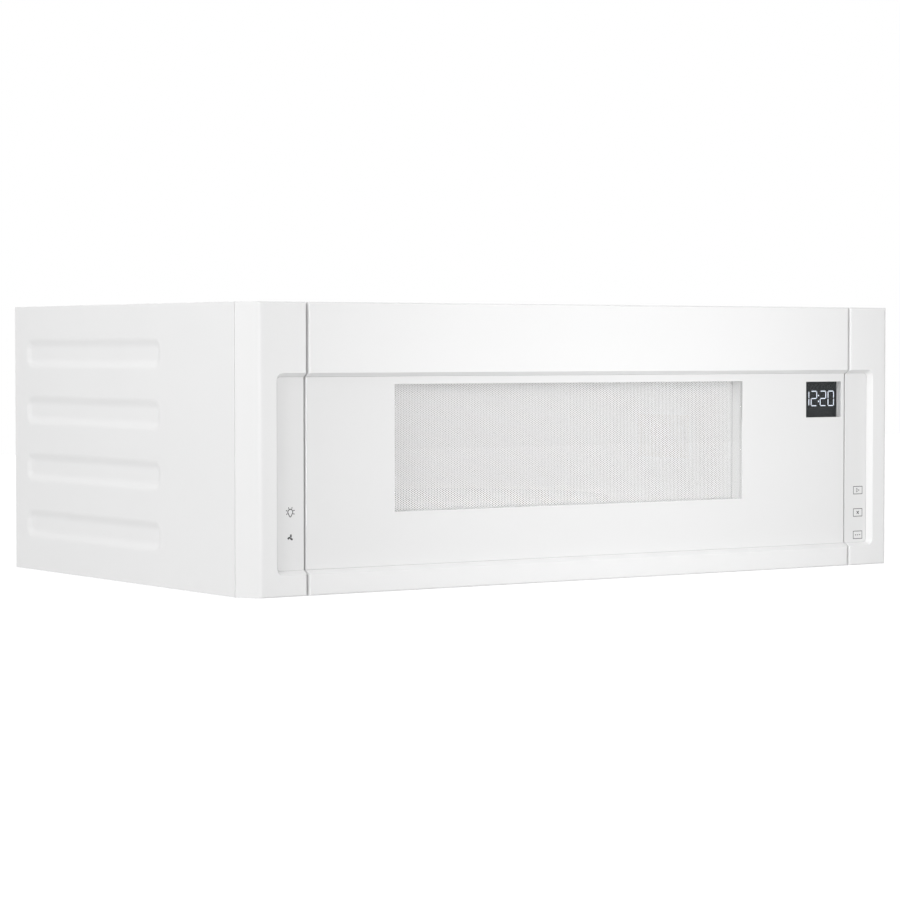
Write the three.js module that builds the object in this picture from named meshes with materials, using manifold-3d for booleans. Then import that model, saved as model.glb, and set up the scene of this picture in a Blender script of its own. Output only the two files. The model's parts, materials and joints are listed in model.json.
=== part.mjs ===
// Low profile microwave oven that hangs over a range, 30 inch class.
// Millimetres. X runs to the right as seen from the front, Y towards the wall, Z up.
// The origin is under the middle of the case, at the height of its underside.

import * as THREE from "three";
import { mergeVertices } from "three/addons/utils/BufferGeometryUtils.js";
import Module from "manifold-3d";

const wasm = await Module();
wasm.setup();

// ---------------------------------------------------------------- driving sizes

// Case
const CASE_WIDTH = 760;
const CASE_HEIGHT = 260;
const CASE_DEPTH = 460;
const SHEET = 1;
const FLANGE = 12;
const GAP = 0.3;
const RUNNING_GAP = 0.4;
const BOLT_HOLE = 8;
const BOLT_HOLE_X = 290;
const BOLT_HOLE_FROM_WALL = 290;

// Pressed ribs of the side panels
const RIB_COUNT = 4;
const RIB_PITCH = 56;
const RIB_HEIGHT = 27.5;
const RIB_DEPTH = 4;
const RIB_SLOPE = 6;
const RIB_CORNER = 11;
const RIB_FROM_STRIP = 135;
const RIB_FROM_WALL = 24;

// Front strips and door
const FRONT_DEPTH = 22;
const WALL = 2.5;
const STRIP_WIDTH = 60.6;
const DOOR_GAP = 2;
const CORNER_INSET = 12;
const CORNER_ROUND = 4;
const EDGE_ROUND = 2.5;
const TOP_BAND = 62.7;
const BOTTOM_BAND = 19.3;
const STRIP_BAND = 29.5;
const RECESS_DEPTH = 6;
const RECESS_LIP = 3.5;
const RECESS_CORNER = 7;
const PLATE_SETBACK = 18;
const GLASS_THICKNESS = 4;
const TOUCH_THICKNESS = 2;

// Window and display, measured from the door's edges and from the recess floor
const WINDOW_FROM_LEFT = 94.1;
const WINDOW_FROM_RIGHT = 133.4;
const WINDOW_FROM_BOTTOM = 48.7;
const WINDOW_FROM_TOP = 7.2;
const TUNNEL_WALL = 2;
const SCREEN_SHEET = 0.8;
const SCREEN_MARGIN = 12;
const DISPLAY_WIDTH = 47.3;
const DISPLAY_HEIGHT = 35.6;
const DISPLAY_FROM_RIGHT = 4.8;
const DISPLAY_FROM_TOP = 8.2;
const DISPLAY_BLOCK = 6;
const DISPLAY_BOARD = 1.6;
const DISPLAY_RIM = 3;

// Choke and seal of the door
const CHOKE_WIDTH = 20;
const CHOKE_LAP = 2;
const CHOKE_COVER = 2;
const SEAL_GAP = 1.2;
const INNER_WINDOW = 3;
const DOOR_PANEL_INSET = 2;

// Door hinge and latch
const HINGE_FROM_FRONT = 12;
const HINGE_HEIGHT = 7;
const PIN_RADIUS = 3;
const HINGE_ARM = 3;
const HINGE_ARM_HEIGHT = 56;
const HINGE_EAR = 3;
const DOOR_SWING_GAP = 1;
const LATCH_INSET = 24.3;
const LATCH_WIDTH = 6;
const LATCH_HEIGHT = 8;
const LATCH_REACH = 25;
const LATCH_ABOVE_CHOKE = 9;
const LATCH_BAR = 10;
const LATCH_ROOM = 3;
const LATCH_RISE = 5;
const BRACKET_WALL = 6;
const SWITCH_DEPTH = 18;
const SWITCH_HEIGHT = 12;
const SWITCH_LAP = 3;
const PLUNGER_RADIUS = 1.5;
const PLUNGER_LENGTH = 10;
const PLUNGER_SHOWS = 5;
const PLUNGER_TRAVEL = 3;

// Oven cavity and the spaces around it
const CAVITY_SHEET = 0.8;
const LEFT_CHANNEL = 95;
const FLOOR_SPACE = 44;
const CEILING_SPACE = 50;
const SIDE_CLEARANCE = 7;
const HOLE_RADIUS = 2;
const HOLE_PITCH = 7;
const HOLE_COLUMNS = 5;
const AIR_HOLE_ROWS = 4;
const AIR_HOLES_FROM_BACK = 60;
const AIR_HOLES_FROM_TOP = 40;
const LAMP_HOLE_ROWS = 3;
const LAMP_FROM_FRONT = 60;
const LAMP_FROM_TOP = 22;
const LAMP_HOLDER_DEPTH = 34;
const LAMP_HOLDER_WIDTH = 40;
const LAMP_HOLDER_HEIGHT = 28;
const LAMP_HOLDER_WALL = 2;
const LAMP_FROM_WALL = 6;

// Microwave source
const WAVEGUIDE_DEPTH = 40;
const WAVEGUIDE_LENGTH = 100;
const WAVEGUIDE_HEIGHT = 62;
const WAVEGUIDE_MOUTH = 70;
const ANTENNA_RADIUS = 8;
const ANTENNA_LENGTH = 22;
const ANODE_RADIUS = 20;
const YOKE_DEPTH = 46;
const YOKE_WIDTH = 80;
const YOKE_HEIGHT = 95;
const YOKE_SHEET = 2;
const FIN_COUNT = 6;
const FIN_SHEET = 1;
const FILTER_BOX = 32;
const CORE_WIDTH = 96;
const CORE_HEIGHT = 80;
const CORE_STACK = 58;
const CORE_LIMB = 16;
const WINDING_BULGE = 13;
const CAPACITOR_WIDTH = 50;
const CAPACITOR_DEPTH = 32;
const CAPACITOR_HEIGHT = 92;
const CAPACITOR_CORNER = 14.5;
const BAY_MARGIN = 10;
const BOARD_SHEET = 1.6;
const BOARD_HEIGHT = 73;
const STAND_OFF = 8;
const RELAY_COUNT = 3;
const RELAY_PITCH = 24;
const RELAY_WIDTH = 18;
const RELAY_DEPTH = 17;
const RELAY_HEIGHT = 22;

// Cooling fan
const FAN_RADIUS = 46;
const FAN_BLADES = 5;
const FAN_DEPTH = 14;
const FAN_HUB = 13;
const FAN_CHORD = 20.8;
const FAN_PITCH = 0.45;
const FAN_TIP_GAP = 2;
const FAN_END_GAP = 4;
const FAN_MOTOR = 52;
const FAN_MOTOR_DEPTH = 26;
const FAN_SHAFT = 2.5;

// Turntable
const TRAY_CLEARANCE = 15;
const TRAY_GLASS = 5;
const TRAY_RIM = 13;
const TRAY_FOOT_INSET = 26;
const TRAY_SLOPE = 18;
const ROLLER_RADIUS = 7;
const ROLLER_WIDTH = 6;
const AXLE_RADIUS = 1.5;
const ROLLER_INSET = 52;
const RING_WIDTH = 6;
const RING_THICKNESS = 5;
const COUPLER_RADIUS = 22;
const COUPLER_HUB = 10;
const COUPLER_LOBE = 10;
const COUPLER_GAP = 2;
const COUPLER_SHAFT = 3.5;
const COUPLER_ENTRY = 6;
const TURN_MOTOR_RADIUS = 24.5;
const TURN_MOTOR_HEIGHT = 14;

// Exhaust blower
const WHEEL_RADIUS = 29;
const WHEEL_WIDTH = 76;
const WHEEL_BLADES = 16;
const WHEEL_PITCH = 0.5;
const TIP_GAP = 3;
const SCROLL_GROWTH = 8;
const SCROLL_STEPS = 20;
const HOUSING_WALL = 1.5;
const BLOWER_SHAFT = 4;
const BLOWER_MOTOR_RADIUS = 33;
const BLOWER_MOTOR_LENGTH = 60;
const OUTLET_WIDTH = 254;
const OUTLET_DEPTH = 82.5;
const OUTLET_MARGIN = 6;

// Underside
const FILTER_WIDTH = 150;
const FILTER_LENGTH = 200;
const FILTER_THICKNESS = 8;
const FILTER_MESH = 4;
const FILTER_RIM = 10;
const FILTER_LAP = 4;
const FILTER_TRAVEL = 12;
const FILTER_FROM_SIDE = 215;
const FILTER_FROM_WALL = 90;
const LENS_WIDTH = 111;
const LENS_LENGTH = 50;
const LENS_THICKNESS = 2.5;
const LENS_GAP = 0.5;
const LENS_SWING_GAP = 2;
const LENS_PIN = 1.2;
const LENS_PIN_REACH = 3;
const LENS_FROM_FRONT = 54;
const LAMP_FROM_SIDE = 215;
const LAMP_HEIGHT = 26;
const BULB_RADIUS = 8;

// Top
const VENT_COUNT = 24;
const VENT_WIDTH = 6;
const VENT_LENGTH = 42;
const VENT_PITCH = 14;
const VENT_FROM_STRIP = 24;
const BUSH_BORE = 6;
const BUSH_WALL = 3;
const BUSH_HEIGHT = 8;
const BUSH_FROM_RIGHT = 48;
const BUSH_FROM_WALL = 40;

// Wall side
const HOOK_SLOT_WIDTH = 60;
const HOOK_SLOT_HEIGHT = 8;
const HOOK_SLOT_UP = 24;
const HOOK_SLOT_SPACING = 400;

// ---------------------------------------------------------------- planes worked out from them

const caseRight = CASE_WIDTH / 2;
const caseLeft = -caseRight;
const caseFront = -CASE_DEPTH / 2;
const caseBack = CASE_DEPTH / 2;
const insideX = caseRight - SHEET;
const plateX = insideX - GAP;
const frontBack = caseFront + FRONT_DEPTH;
const panelFront = frontBack + GAP;
const plateFront = frontBack + PLATE_SETBACK;
const plateBack = plateFront + SHEET;
const rearFace = caseBack - SHEET - GAP;
const flangeLow = SHEET + GAP;
const flangeHigh = CASE_HEIGHT - SHEET - GAP;

const doorX = caseRight - STRIP_WIDTH - DOOR_GAP;
const recessX = caseRight - STRIP_BAND;
const recessLow = BOTTOM_BAND + RECESS_LIP;
const recessHigh = CASE_HEIGHT - TOP_BAND - RECESS_LIP;
const recessFloor = caseFront + RECESS_DEPTH;
const glassBack = recessFloor + GLASS_THICKNESS;
const doorWebFront = glassBack + GAP;
const doorWebBack = doorWebFront + WALL;
const stripWebFront = recessFloor + TOUCH_THICKNESS + GAP;
const stripWebBack = stripWebFront + WALL;

const windowX = [-doorX + WINDOW_FROM_LEFT, doorX - WINDOW_FROM_RIGHT];
const windowZ = [recessLow + WINDOW_FROM_BOTTOM, recessHigh - WINDOW_FROM_TOP];
const displayRight = doorX - DISPLAY_FROM_RIGHT;
const displayX = [displayRight - DISPLAY_WIDTH, displayRight];
const displayTop = recessHigh - DISPLAY_FROM_TOP;
const displayZ = [displayTop - DISPLAY_HEIGHT, displayTop];

const magnetronLength = YOKE_DEPTH + FILTER_BOX;
const sourceLength = magnetronLength + GAP + WAVEGUIDE_DEPTH + GAP;
const rightBay = SHEET + RIB_DEPTH + SIDE_CLEARANCE + sourceLength + CAVITY_SHEET;
const housingRadius = WHEEL_RADIUS + TIP_GAP + HOUSING_WALL;
const housingDepth = 2 * housingRadius + SCROLL_GROWTH;
const rearBay = SHEET + GAP + housingDepth + 2 * GAP + CAVITY_SHEET;
const cavityX = [caseLeft + LEFT_CHANNEL, caseRight - rightBay];
const cavityY = [plateBack, caseBack - rearBay];
const cavityZ = [FLOOR_SPACE, CASE_HEIGHT - CEILING_SPACE];
const cavityOuterX = [cavityX[0] - CAVITY_SHEET, cavityX[1] + CAVITY_SHEET];
const cavityFront = cavityY[0] + GAP;
const bayX = [cavityOuterX[1] + GAP, insideX - RIB_DEPTH - SHEET - GAP];

const chokeX = [cavityX[0] - CHOKE_WIDTH, cavityX[1] + CHOKE_WIDTH];
const chokeZ = [cavityZ[0] - CHOKE_WIDTH, cavityZ[1] + CHOKE_WIDTH];
const chokeInnerX = [cavityX[0] + CHOKE_LAP, cavityX[1] - CHOKE_LAP];
const chokeInnerZ = [cavityZ[0] + CHOKE_LAP, cavityZ[1] - CHOKE_LAP];
const screenFront = frontBack + GAP;
const screenBack = screenFront + SCREEN_SHEET;
const doorPanelFront = screenBack + GAP;
const doorPanelBack = doorPanelFront + SHEET;
const chokeCoverBack = plateFront - SEAL_GAP;
const chokeBack = chokeCoverBack - CHOKE_COVER - GAP;

const hingeY = caseFront + HINGE_FROM_FRONT;
const doorSweep = Math.hypot(frontBack - hingeY, HINGE_HEIGHT);
const basePanFront = hingeY + doorSweep + DOOR_SWING_GAP;
const pinHole = PIN_RADIUS + RUNNING_GAP;
const latchLow = chokeZ[1] + LATCH_ABOVE_CHOKE;
const latchHigh = latchLow + LATCH_HEIGHT;
const latchTip = plateFront + LATCH_REACH;
const latchX = grow(cavityX, -LATCH_INSET);
const slotHalf = LATCH_WIDTH / 2 + LATCH_ROOM;
const slotZ = [latchLow - LATCH_ROOM, latchHigh + LATCH_RISE];
const bracketBack = latchTip + GAP + PLUNGER_SHOWS;

const turnX = (cavityX[0] + cavityX[1]) / 2;
const turnY = (cavityY[0] + cavityY[1]) / 2;
const floorTop = cavityZ[0];
const rollerHeight = floorTop + GAP + ROLLER_RADIUS;
const trayUnder = rollerHeight + ROLLER_RADIUS + GAP;
const trayRadius = Math.min(cavityX[1] - cavityX[0], cavityY[1] - cavityY[0]) / 2 - TRAY_CLEARANCE;
const rollerTrack = trayRadius - ROLLER_INSET;
const rollerTurns = [0, 1, 2].map((index) => (index * 2 / 3 + 0.5) * Math.PI);

// ---------------------------------------------------------------- geometry helpers

/** Turns a closed three.js geometry into a solid that can be joined and cut. */
function solid(geometry) {
  geometry.deleteAttribute("normal");
  geometry.deleteAttribute("uv");
  const merged = mergeVertices(geometry, 1e-4);
  const vertProperties = Float32Array.from(merged.attributes.position.array);
  const triVerts = Uint32Array.from(merged.index.array);
  return new wasm.Manifold(new wasm.Mesh({ numProp: 3, vertProperties, triVerts }));
}

function box(x, y, z) {
  const size = [x, y, z].map(([a, b]) => Math.abs(b - a));
  const middle = [x, y, z].map(([a, b]) => (a + b) / 2);
  return solid(new THREE.BoxGeometry(...size).translate(...middle));
}

const AXES = {
  x: new THREE.Matrix4().makeBasis(
    new THREE.Vector3(0, 1, 0), new THREE.Vector3(0, 0, 1), new THREE.Vector3(1, 0, 0)),
  y: new THREE.Matrix4().makeBasis(
    new THREE.Vector3(1, 0, 0), new THREE.Vector3(0, 0, 1), new THREE.Vector3(0, -1, 0)),
  z: new THREE.Matrix4(),
};

/** Pushes a flat outline along an axis: (y, z) along x, (x, z) along y, (x, y) along z. */
function extrude(axis, shape, span, curveSegments = 4) {
  const [low, high] = grow(span, 0);
  const geometry = new THREE.ExtrudeGeometry(shape, {
    depth: high - low, bevelEnabled: false, curveSegments,
  });
  geometry.translate(0, 0, axis === "y" ? -high : low);
  return solid(geometry.applyMatrix4(AXES[axis]));
}

/** A plate whose far faces shrink by a slope, as a pressed rib or a lipped recess does. */
function tapered(axis, shape, span, thickness, slope) {
  const [start, end] = grow(span, 0);
  const geometry = new THREE.ExtrudeGeometry(shape, {
    depth: end - start,
    bevelEnabled: true,
    bevelThickness: thickness,
    bevelSize: slope,
    bevelOffset: -slope,
    bevelSegments: 1,
    curveSegments: 3,
  });
  geometry.translate(0, 0, axis === "y" ? -end : start);
  return solid(geometry.applyMatrix4(AXES[axis]));
}

/** An outline through corners [u, v, radius], each rounded by its radius. */
function outline(corners) {
  const shape = new THREE.Shape();
  corners.forEach(([u, v, radius = 0], index) => {
    const corner = new THREE.Vector2(u, v);
    const before = new THREE.Vector2(...corners.at(index - 1));
    const after = new THREE.Vector2(...corners[(index + 1) % corners.length]);
    const start = corner.clone().add(before.sub(corner).setLength(radius));
    const end = corner.clone().add(after.sub(corner).setLength(radius));
    if (index === 0) shape.moveTo(start.x, start.y);
    else shape.lineTo(start.x, start.y);
    if (radius > 0) shape.quadraticCurveTo(corner.x, corner.y, end.x, end.y);
  });
  return shape;
}

function rectangle([u0, u1], [v0, v1], radius = 0) {
  return outline([[u0, v0, radius], [u1, v0, radius], [u1, v1, radius], [u0, v1, radius]]);
}

function circle(radius, u = 0, v = 0) {
  return new THREE.Shape().absarc(u, v, radius, 0, 2 * Math.PI);
}

/** A round rod along an axis, centred on (u, v) in the other two. */
function rod(axis, radius, span, u, v, sides = 16) {
  return extrude(axis, circle(radius, u, v), span, sides / 2);
}

/** Turns a profile of (radius, height) points about the Z axis, from the bottom outwards and up. */
function turned(points, sides = 48) {
  const profile = points.map(([radius, height]) => new THREE.Vector2(radius, height));
  const first = points[0];
  if (first[0] > 0) profile.push(profile[0].clone());
  return solid(new THREE.LatheGeometry(profile, sides).rotateX(Math.PI / 2));
}

/** Joins a list of solids into one. */
function join(solids) {
  return solids.reduce((whole, piece) => whole.add(piece));
}

/** Takes every tool in a list away from a solid. */
function cut(body, tools) {
  return tools.reduce((rest, tool) => rest.subtract(tool), body);
}

/** The same span on both sides of a middle. */
function around(middle, width) {
  return [middle - width / 2, middle + width / 2];
}

/** A span grown outwards by a margin, or drawn in by a negative one. */
function grow([a, b], margin) {
  return [Math.min(a, b) - margin, Math.max(a, b) + margin];
}

/** Numbers spread evenly about a middle. */
function spread(count, pitch, middle = 0) {
  return Array.from({ length: count }, (_, index) => middle + (index - (count - 1) / 2) * pitch);
}

/** Makes the named piece of the scene from a solid. */
function piece(name, body, material) {
  const mesh = body.getMesh();
  const geometry = new THREE.BufferGeometry();
  geometry.setAttribute("position", new THREE.BufferAttribute(mesh.vertProperties, 3));
  geometry.setIndex(new THREE.BufferAttribute(mesh.triVerts, 1));
  const result = new THREE.Mesh(geometry, material);
  result.name = name;
  return result;
}

// ---------------------------------------------------------------- materials

function finish(color, roughness, metalness = 0) {
  return new THREE.MeshStandardMaterial({ color, roughness, metalness });
}

const whitePaint = finish("#f1f1f1", 0.4);
const whitePlastic = finish("#f3f3f2", 0.3);
const whiteGlass = finish("#eceded", 0.08);
const touchFilm = finish("#ececec", 0.2);
const zincSteel = finish("#b9bcbe", 0.45, 0.9);
const enamel = finish("#d9d8d2", 0.35);
const screenSteel = finish("#dcdcdb", 0.5, 0.3);
const clearPlastic = finish("#e4e8ea", 0.1);
const chokePlastic = finish("#c9cacb", 0.5);
const displayBlack = finish("#24262a", 0.15);
const mica = finish("#b8ab93", 0.7);
const aluminium = finish("#c5c8ca", 0.4, 0.9);
const laminations = finish("#6d6f72", 0.6, 0.6);
const copper = finish("#a8623a", 0.4, 0.8);
const boardGreen = finish("#2f6b45", 0.6);
const blackPlastic = finish("#2a2b2d", 0.55);
const nylon = finish("#e6e3da", 0.5);
const trayGlass = finish("#dfe6e6", 0.05);
const lampGlass = finish("#f4efdf", 0.15);

// ---------------------------------------------------------------- case

/** One side panel: a web with turned-in edges and pressed ribs. */
function sidePanel(side) {
  const outer = side * caseRight;
  const inner = side * insideX;
  const tip = outer - side * FLANGE;
  const web = box([outer, inner], [panelFront, caseBack], [0, CASE_HEIGHT]);
  const flanges = [
    box([outer, tip], [panelFront, panelFront + SHEET], [flangeLow, flangeHigh]),
    box([outer, tip], [panelFront, rearFace], [flangeLow, flangeLow + SHEET]),
    box([outer, tip], [panelFront, rearFace], [flangeHigh - SHEET, flangeHigh]),
    box([outer, tip], [rearFace - SHEET, rearFace], [flangeLow, flangeHigh]),
  ];
  const ribY = [frontBack + RIB_FROM_STRIP, caseBack - RIB_FROM_WALL];
  const presses = (surface) => spread(RIB_COUNT, RIB_PITCH, CASE_HEIGHT / 2).map((height) => {
    const shape = rectangle(ribY, around(height, RIB_HEIGHT), RIB_CORNER);
    return tapered("x", shape, [surface, surface + side * SHEET], RIB_DEPTH, RIB_SLOPE);
  });
  const beyond = box([outer, outer + side * 4 * RIB_DEPTH], [caseFront, caseBack], [0, CASE_HEIGHT]);
  const dished = join([web, ...flanges, ...presses(inner)]).subtract(beyond);
  return cut(dished, presses(outer));
}

const bushX = caseRight - BUSH_FROM_RIGHT;
const bushY = caseBack - BUSH_FROM_WALL;

/** The top panel, with its air vents, exhaust outlet, bolt holes and cable hole. */
function topPanel() {
  const z = [CASE_HEIGHT - SHEET, CASE_HEIGHT];
  const plate = box([-plateX, plateX], [panelFront, rearFace], z);
  const through = grow(z, SHEET);
  const ventY = [panelFront + VENT_FROM_STRIP, panelFront + VENT_FROM_STRIP + VENT_LENGTH];
  const vents = spread(VENT_COUNT, VENT_PITCH).map((x) => box(around(x, VENT_WIDTH), ventY, through));
  const outletBack = rearFace - OUTLET_MARGIN;
  const outlet = box([-OUTLET_WIDTH / 2, OUTLET_WIDTH / 2], [outletBack - OUTLET_DEPTH, outletBack], through);
  const boltY = caseBack - BOLT_HOLE_FROM_WALL;
  const bolts = [-BOLT_HOLE_X, BOLT_HOLE_X].map((x) => rod("z", BOLT_HOLE / 2, through, x, boltY));
  const cable = rod("z", BUSH_BORE + BUSH_WALL, through, bushX, bushY);
  return cut(plate, [...vents, outlet, ...bolts, cable]);
}

/** The bush that lines the cable outlet, clipped to the top panel from below. */
function cableBush() {
  const shoulder = CASE_HEIGHT - SHEET - GAP;
  const flange = BUSH_BORE + 2 * BUSH_WALL;
  const neck = BUSH_BORE + BUSH_WALL - GAP;
  const collar = turned([
    [BUSH_BORE, shoulder - BUSH_HEIGHT],
    [flange, shoulder - BUSH_HEIGHT],
    [flange, shoulder],
    [neck, shoulder],
    [neck, CASE_HEIGHT],
    [BUSH_BORE, CASE_HEIGHT],
  ], 24);
  const bush = piece("cable_bush", collar, blackPlastic);
  bush.position.set(bushX, bushY, 0);
  return bush;
}

function backPanel() {
  const y = [caseBack - SHEET, caseBack];
  const plate = box([-plateX, plateX], y, [0, CASE_HEIGHT]);
  const slots = [-HOOK_SLOT_SPACING / 2, HOOK_SLOT_SPACING / 2].map((x) =>
    box(around(x, HOOK_SLOT_WIDTH), grow(y, SHEET), around(HOOK_SLOT_UP, HOOK_SLOT_HEIGHT)));
  return cut(plate, slots);
}

const filterX = caseRight - FILTER_FROM_SIDE;
const filterCentreY = caseBack - FILTER_FROM_WALL - FILTER_LENGTH / 2;
const lampX = caseRight - LAMP_FROM_SIDE;
const lensY = [caseFront + LENS_FROM_FRONT, caseFront + LENS_FROM_FRONT + LENS_LENGTH];

/** The base pan, open under both grease filters and both lamps. */
function basePan() {
  const plate = box([-plateX, plateX], [basePanFront, rearFace], [0, SHEET]);
  const lip = box([-doorX, doorX], [basePanFront, basePanFront + SHEET], [0, FLANGE]);
  const through = [-SHEET, 2 * SHEET];
  const openings = [];
  const guides = [];
  for (const x of [-filterX, filterX]) {
    openings.push(box(around(x, FILTER_WIDTH), around(filterCentreY, FILTER_LENGTH), through));
    for (const side of [-1, 1]) {
      const near = x + side * (FILTER_WIDTH / 2 + FILTER_LAP + GAP);
      const reach = FILTER_LENGTH / 2 + FILTER_LAP + FILTER_TRAVEL;
      const height = SHEET + FILTER_THICKNESS;
      guides.push(box([near, near + side * SHEET], around(filterCentreY, 2 * reach), [0, height]));
    }
  }
  for (const x of [-lampX, lampX]) {
    const openingY = [lensY[0] - LENS_GAP, lensY[1] + LENS_SWING_GAP];
    openings.push(box(around(x, LENS_WIDTH + 2 * LENS_GAP), openingY, through));
  }
  return cut(join([plate, lip, ...guides]), openings);
}

/** The front plate, with the oven's mouth, two latch slots and an ear for each hinge pin. */
function frontPlate() {
  const plateZ = grow([flangeLow, flangeHigh], -SHEET - GAP);
  const plate = box([-plateX, plateX], [plateFront, plateBack], plateZ);
  const through = grow([plateFront, plateBack], SHEET);
  const mouth = box(cavityX, through, cavityZ);
  const slots = latchX.map((x) => box(around(x, 2 * slotHalf), through, slotZ));
  const earX = doorX + DOOR_GAP + WALL + GAP;
  const earLow = WALL + GAP;
  const ears = [-1, 1].map((side) => {
    const span = [side * earX, side * (earX + HINGE_EAR)];
    const ear = box(span, [hingeY - PIN_RADIUS * 2, plateBack], [earLow, HINGE_HEIGHT + PIN_RADIUS * 4]);
    return ear.subtract(rod("x", pinHole, grow(span, SHEET), hingeY, HINGE_HEIGHT));
  });
  return join([cut(plate, [mouth, ...slots]), ...ears]);
}

// ---------------------------------------------------------------- front strips and door face

/** The (y, z) section that the strips and the door share, with softened front edges. */
function frontSection(depthEnd) {
  return outline([
    [depthEnd, 0],
    [caseFront, 0, EDGE_ROUND],
    [caseFront, CASE_HEIGHT, EDGE_ROUND],
    [depthEnd, CASE_HEIGHT],
  ]);
}

/** The lipped recess that runs as one band across both strips and the door. */
function recess(pocketDepth) {
  const frontShape = rectangle([-recessX, recessX], [BOTTOM_BAND, CASE_HEIGHT - TOP_BAND], RECESS_CORNER);
  const floorShape = rectangle(
    [-recessX + RECESS_LIP, recessX - RECESS_LIP], [recessLow, recessHigh], RECESS_CORNER - RECESS_LIP);
  const lipped = tapered("y", frontShape, [caseFront - RECESS_DEPTH, caseFront], RECESS_DEPTH, RECESS_LIP);
  return lipped.add(extrude("y", floorShape, [caseFront, recessFloor + pocketDepth]));
}

/** A fixed strip beside the door: a shell open at the back, its outer corner slanted back. */
function frontStrip(side) {
  const near = caseRight - STRIP_WIDTH;
  const plan = outline([
    [side * near, frontBack],
    [side * near, caseFront, EDGE_ROUND],
    [side * (caseRight - CORNER_INSET), caseFront, CORNER_ROUND],
    [side * caseRight, frontBack],
  ]);
  const slant = Math.hypot(CORNER_INSET, FRONT_DEPTH) / FRONT_DEPTH * WALL;
  const slantAtWall = caseRight - CORNER_INSET + WALL * CORNER_INSET / FRONT_DEPTH - slant;
  const hollowPlan = outline([
    [side * (near + WALL), frontBack + WALL],
    [side * (near + WALL), caseFront + WALL],
    [side * slantAtWall, caseFront + WALL],
    [side * (caseRight - slant), frontBack],
    [side * (caseRight - slant), frontBack + WALL],
  ]);
  const block = extrude("z", plan, [0, CASE_HEIGHT]).intersect(
    extrude("x", frontSection(frontBack), [side * near, side * caseRight]));
  const web = box(
    [side * near, side * (recessX - RECESS_LIP + WALL)],
    [caseFront, stripWebBack],
    grow([recessLow, recessHigh], WALL));
  const hollow = extrude("z", hollowPlan, [WALL, CASE_HEIGHT - WALL]).subtract(web);
  const returnWall = box(
    [side * near, side * (near + WALL)],
    [frontBack - WALL, plateFront - GAP],
    [SHEET + GAP, CASE_HEIGHT - SHEET - GAP]);
  const shell = cut(block, [recess(TOUCH_THICKNESS + GAP), hollow]).add(returnWall);
  const wallSpan = [side * (near - WALL), side * (near + 2 * WALL)];
  return shell.subtract(rod("x", pinHole, wallSpan, hingeY, HINGE_HEIGHT));
}

/** The touch panel that lies in a strip's recess. */
function touchPanel(side) {
  const floor = [-recessX + RECESS_LIP + GAP, recessX - RECESS_LIP - GAP];
  const shape = rectangle(floor, grow([recessLow, recessHigh], -GAP), RECESS_CORNER - RECESS_LIP);
  const y = [recessFloor, recessFloor + TOUCH_THICKNESS];
  const near = side * (caseRight - STRIP_WIDTH);
  return extrude("y", shape, y).intersect(box([near, side * caseRight], y, [0, CASE_HEIGHT]));
}

/** The door's moulded frame: two bands, the web behind the glass and the window's tunnel. */
function doorFrame() {
  const plan = outline([
    [-doorX, frontBack],
    [-doorX, caseFront, EDGE_ROUND],
    [doorX, caseFront, EDGE_ROUND],
    [doorX, frontBack],
  ]);
  const block = extrude("z", plan, [0, CASE_HEIGHT]).intersect(
    extrude("x", frontSection(frontBack), [-doorX, doorX]));
  const web = box([-doorX, doorX], [caseFront, doorWebBack], grow([recessLow, recessHigh], WALL));
  const inside = [caseFront + WALL, frontBack + WALL];
  const hollow = box(grow([-doorX, doorX], -WALL), inside, [WALL, CASE_HEIGHT - WALL]).subtract(web);
  const tunnel = box(grow(windowX, TUNNEL_WALL), [doorWebFront, frontBack], grow(windowZ, TUNNEL_WALL));
  const windowCut = box(windowX, [caseFront, frontBack + WALL], windowZ);
  const displayCut = box(displayX, [caseFront, doorWebBack + WALL], displayZ);
  const pins = [-1, 1].map((side) => rod(
    "x", pinHole, [side * (doorX - 2 * WALL), side * (doorX + WALL)], hingeY, HINGE_HEIGHT));
  const shell = cut(block, [recess(GLASS_THICKNESS + GAP), hollow]).add(tunnel);
  return cut(shell, [windowCut, displayCut, ...pins]);
}

/** The glass that closes the door's recess, flush with the strips' touch panels. */
function doorGlass() {
  return box([-doorX, doorX], [recessFloor, glassBack], grow([recessLow, recessHigh], -GAP));
}

/** The clock module: a dark block on a small board, behind the display opening. */
function displayModule() {
  const blockX = [displayX[0] - DISPLAY_RIM, displayX[1]];
  const blockZ = grow(displayZ, DISPLAY_RIM);
  const y = doorWebBack + GAP;
  const boardY = [y + DISPLAY_BLOCK, y + DISPLAY_BLOCK + DISPLAY_BOARD];
  const block = box(blockX, [y, y + DISPLAY_BLOCK], blockZ);
  const board = box(grow(blockX, DISPLAY_RIM / 2), boardY, grow(blockZ, DISPLAY_RIM));
  return block.add(board);
}

// ---------------------------------------------------------------- door, inner side

/** The perforated sheet behind the window, drawn here as a plain one. */
function doorScreen() {
  return box(grow(windowX, SCREEN_MARGIN), [screenFront, screenBack], grow(windowZ, SCREEN_MARGIN));
}

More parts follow.
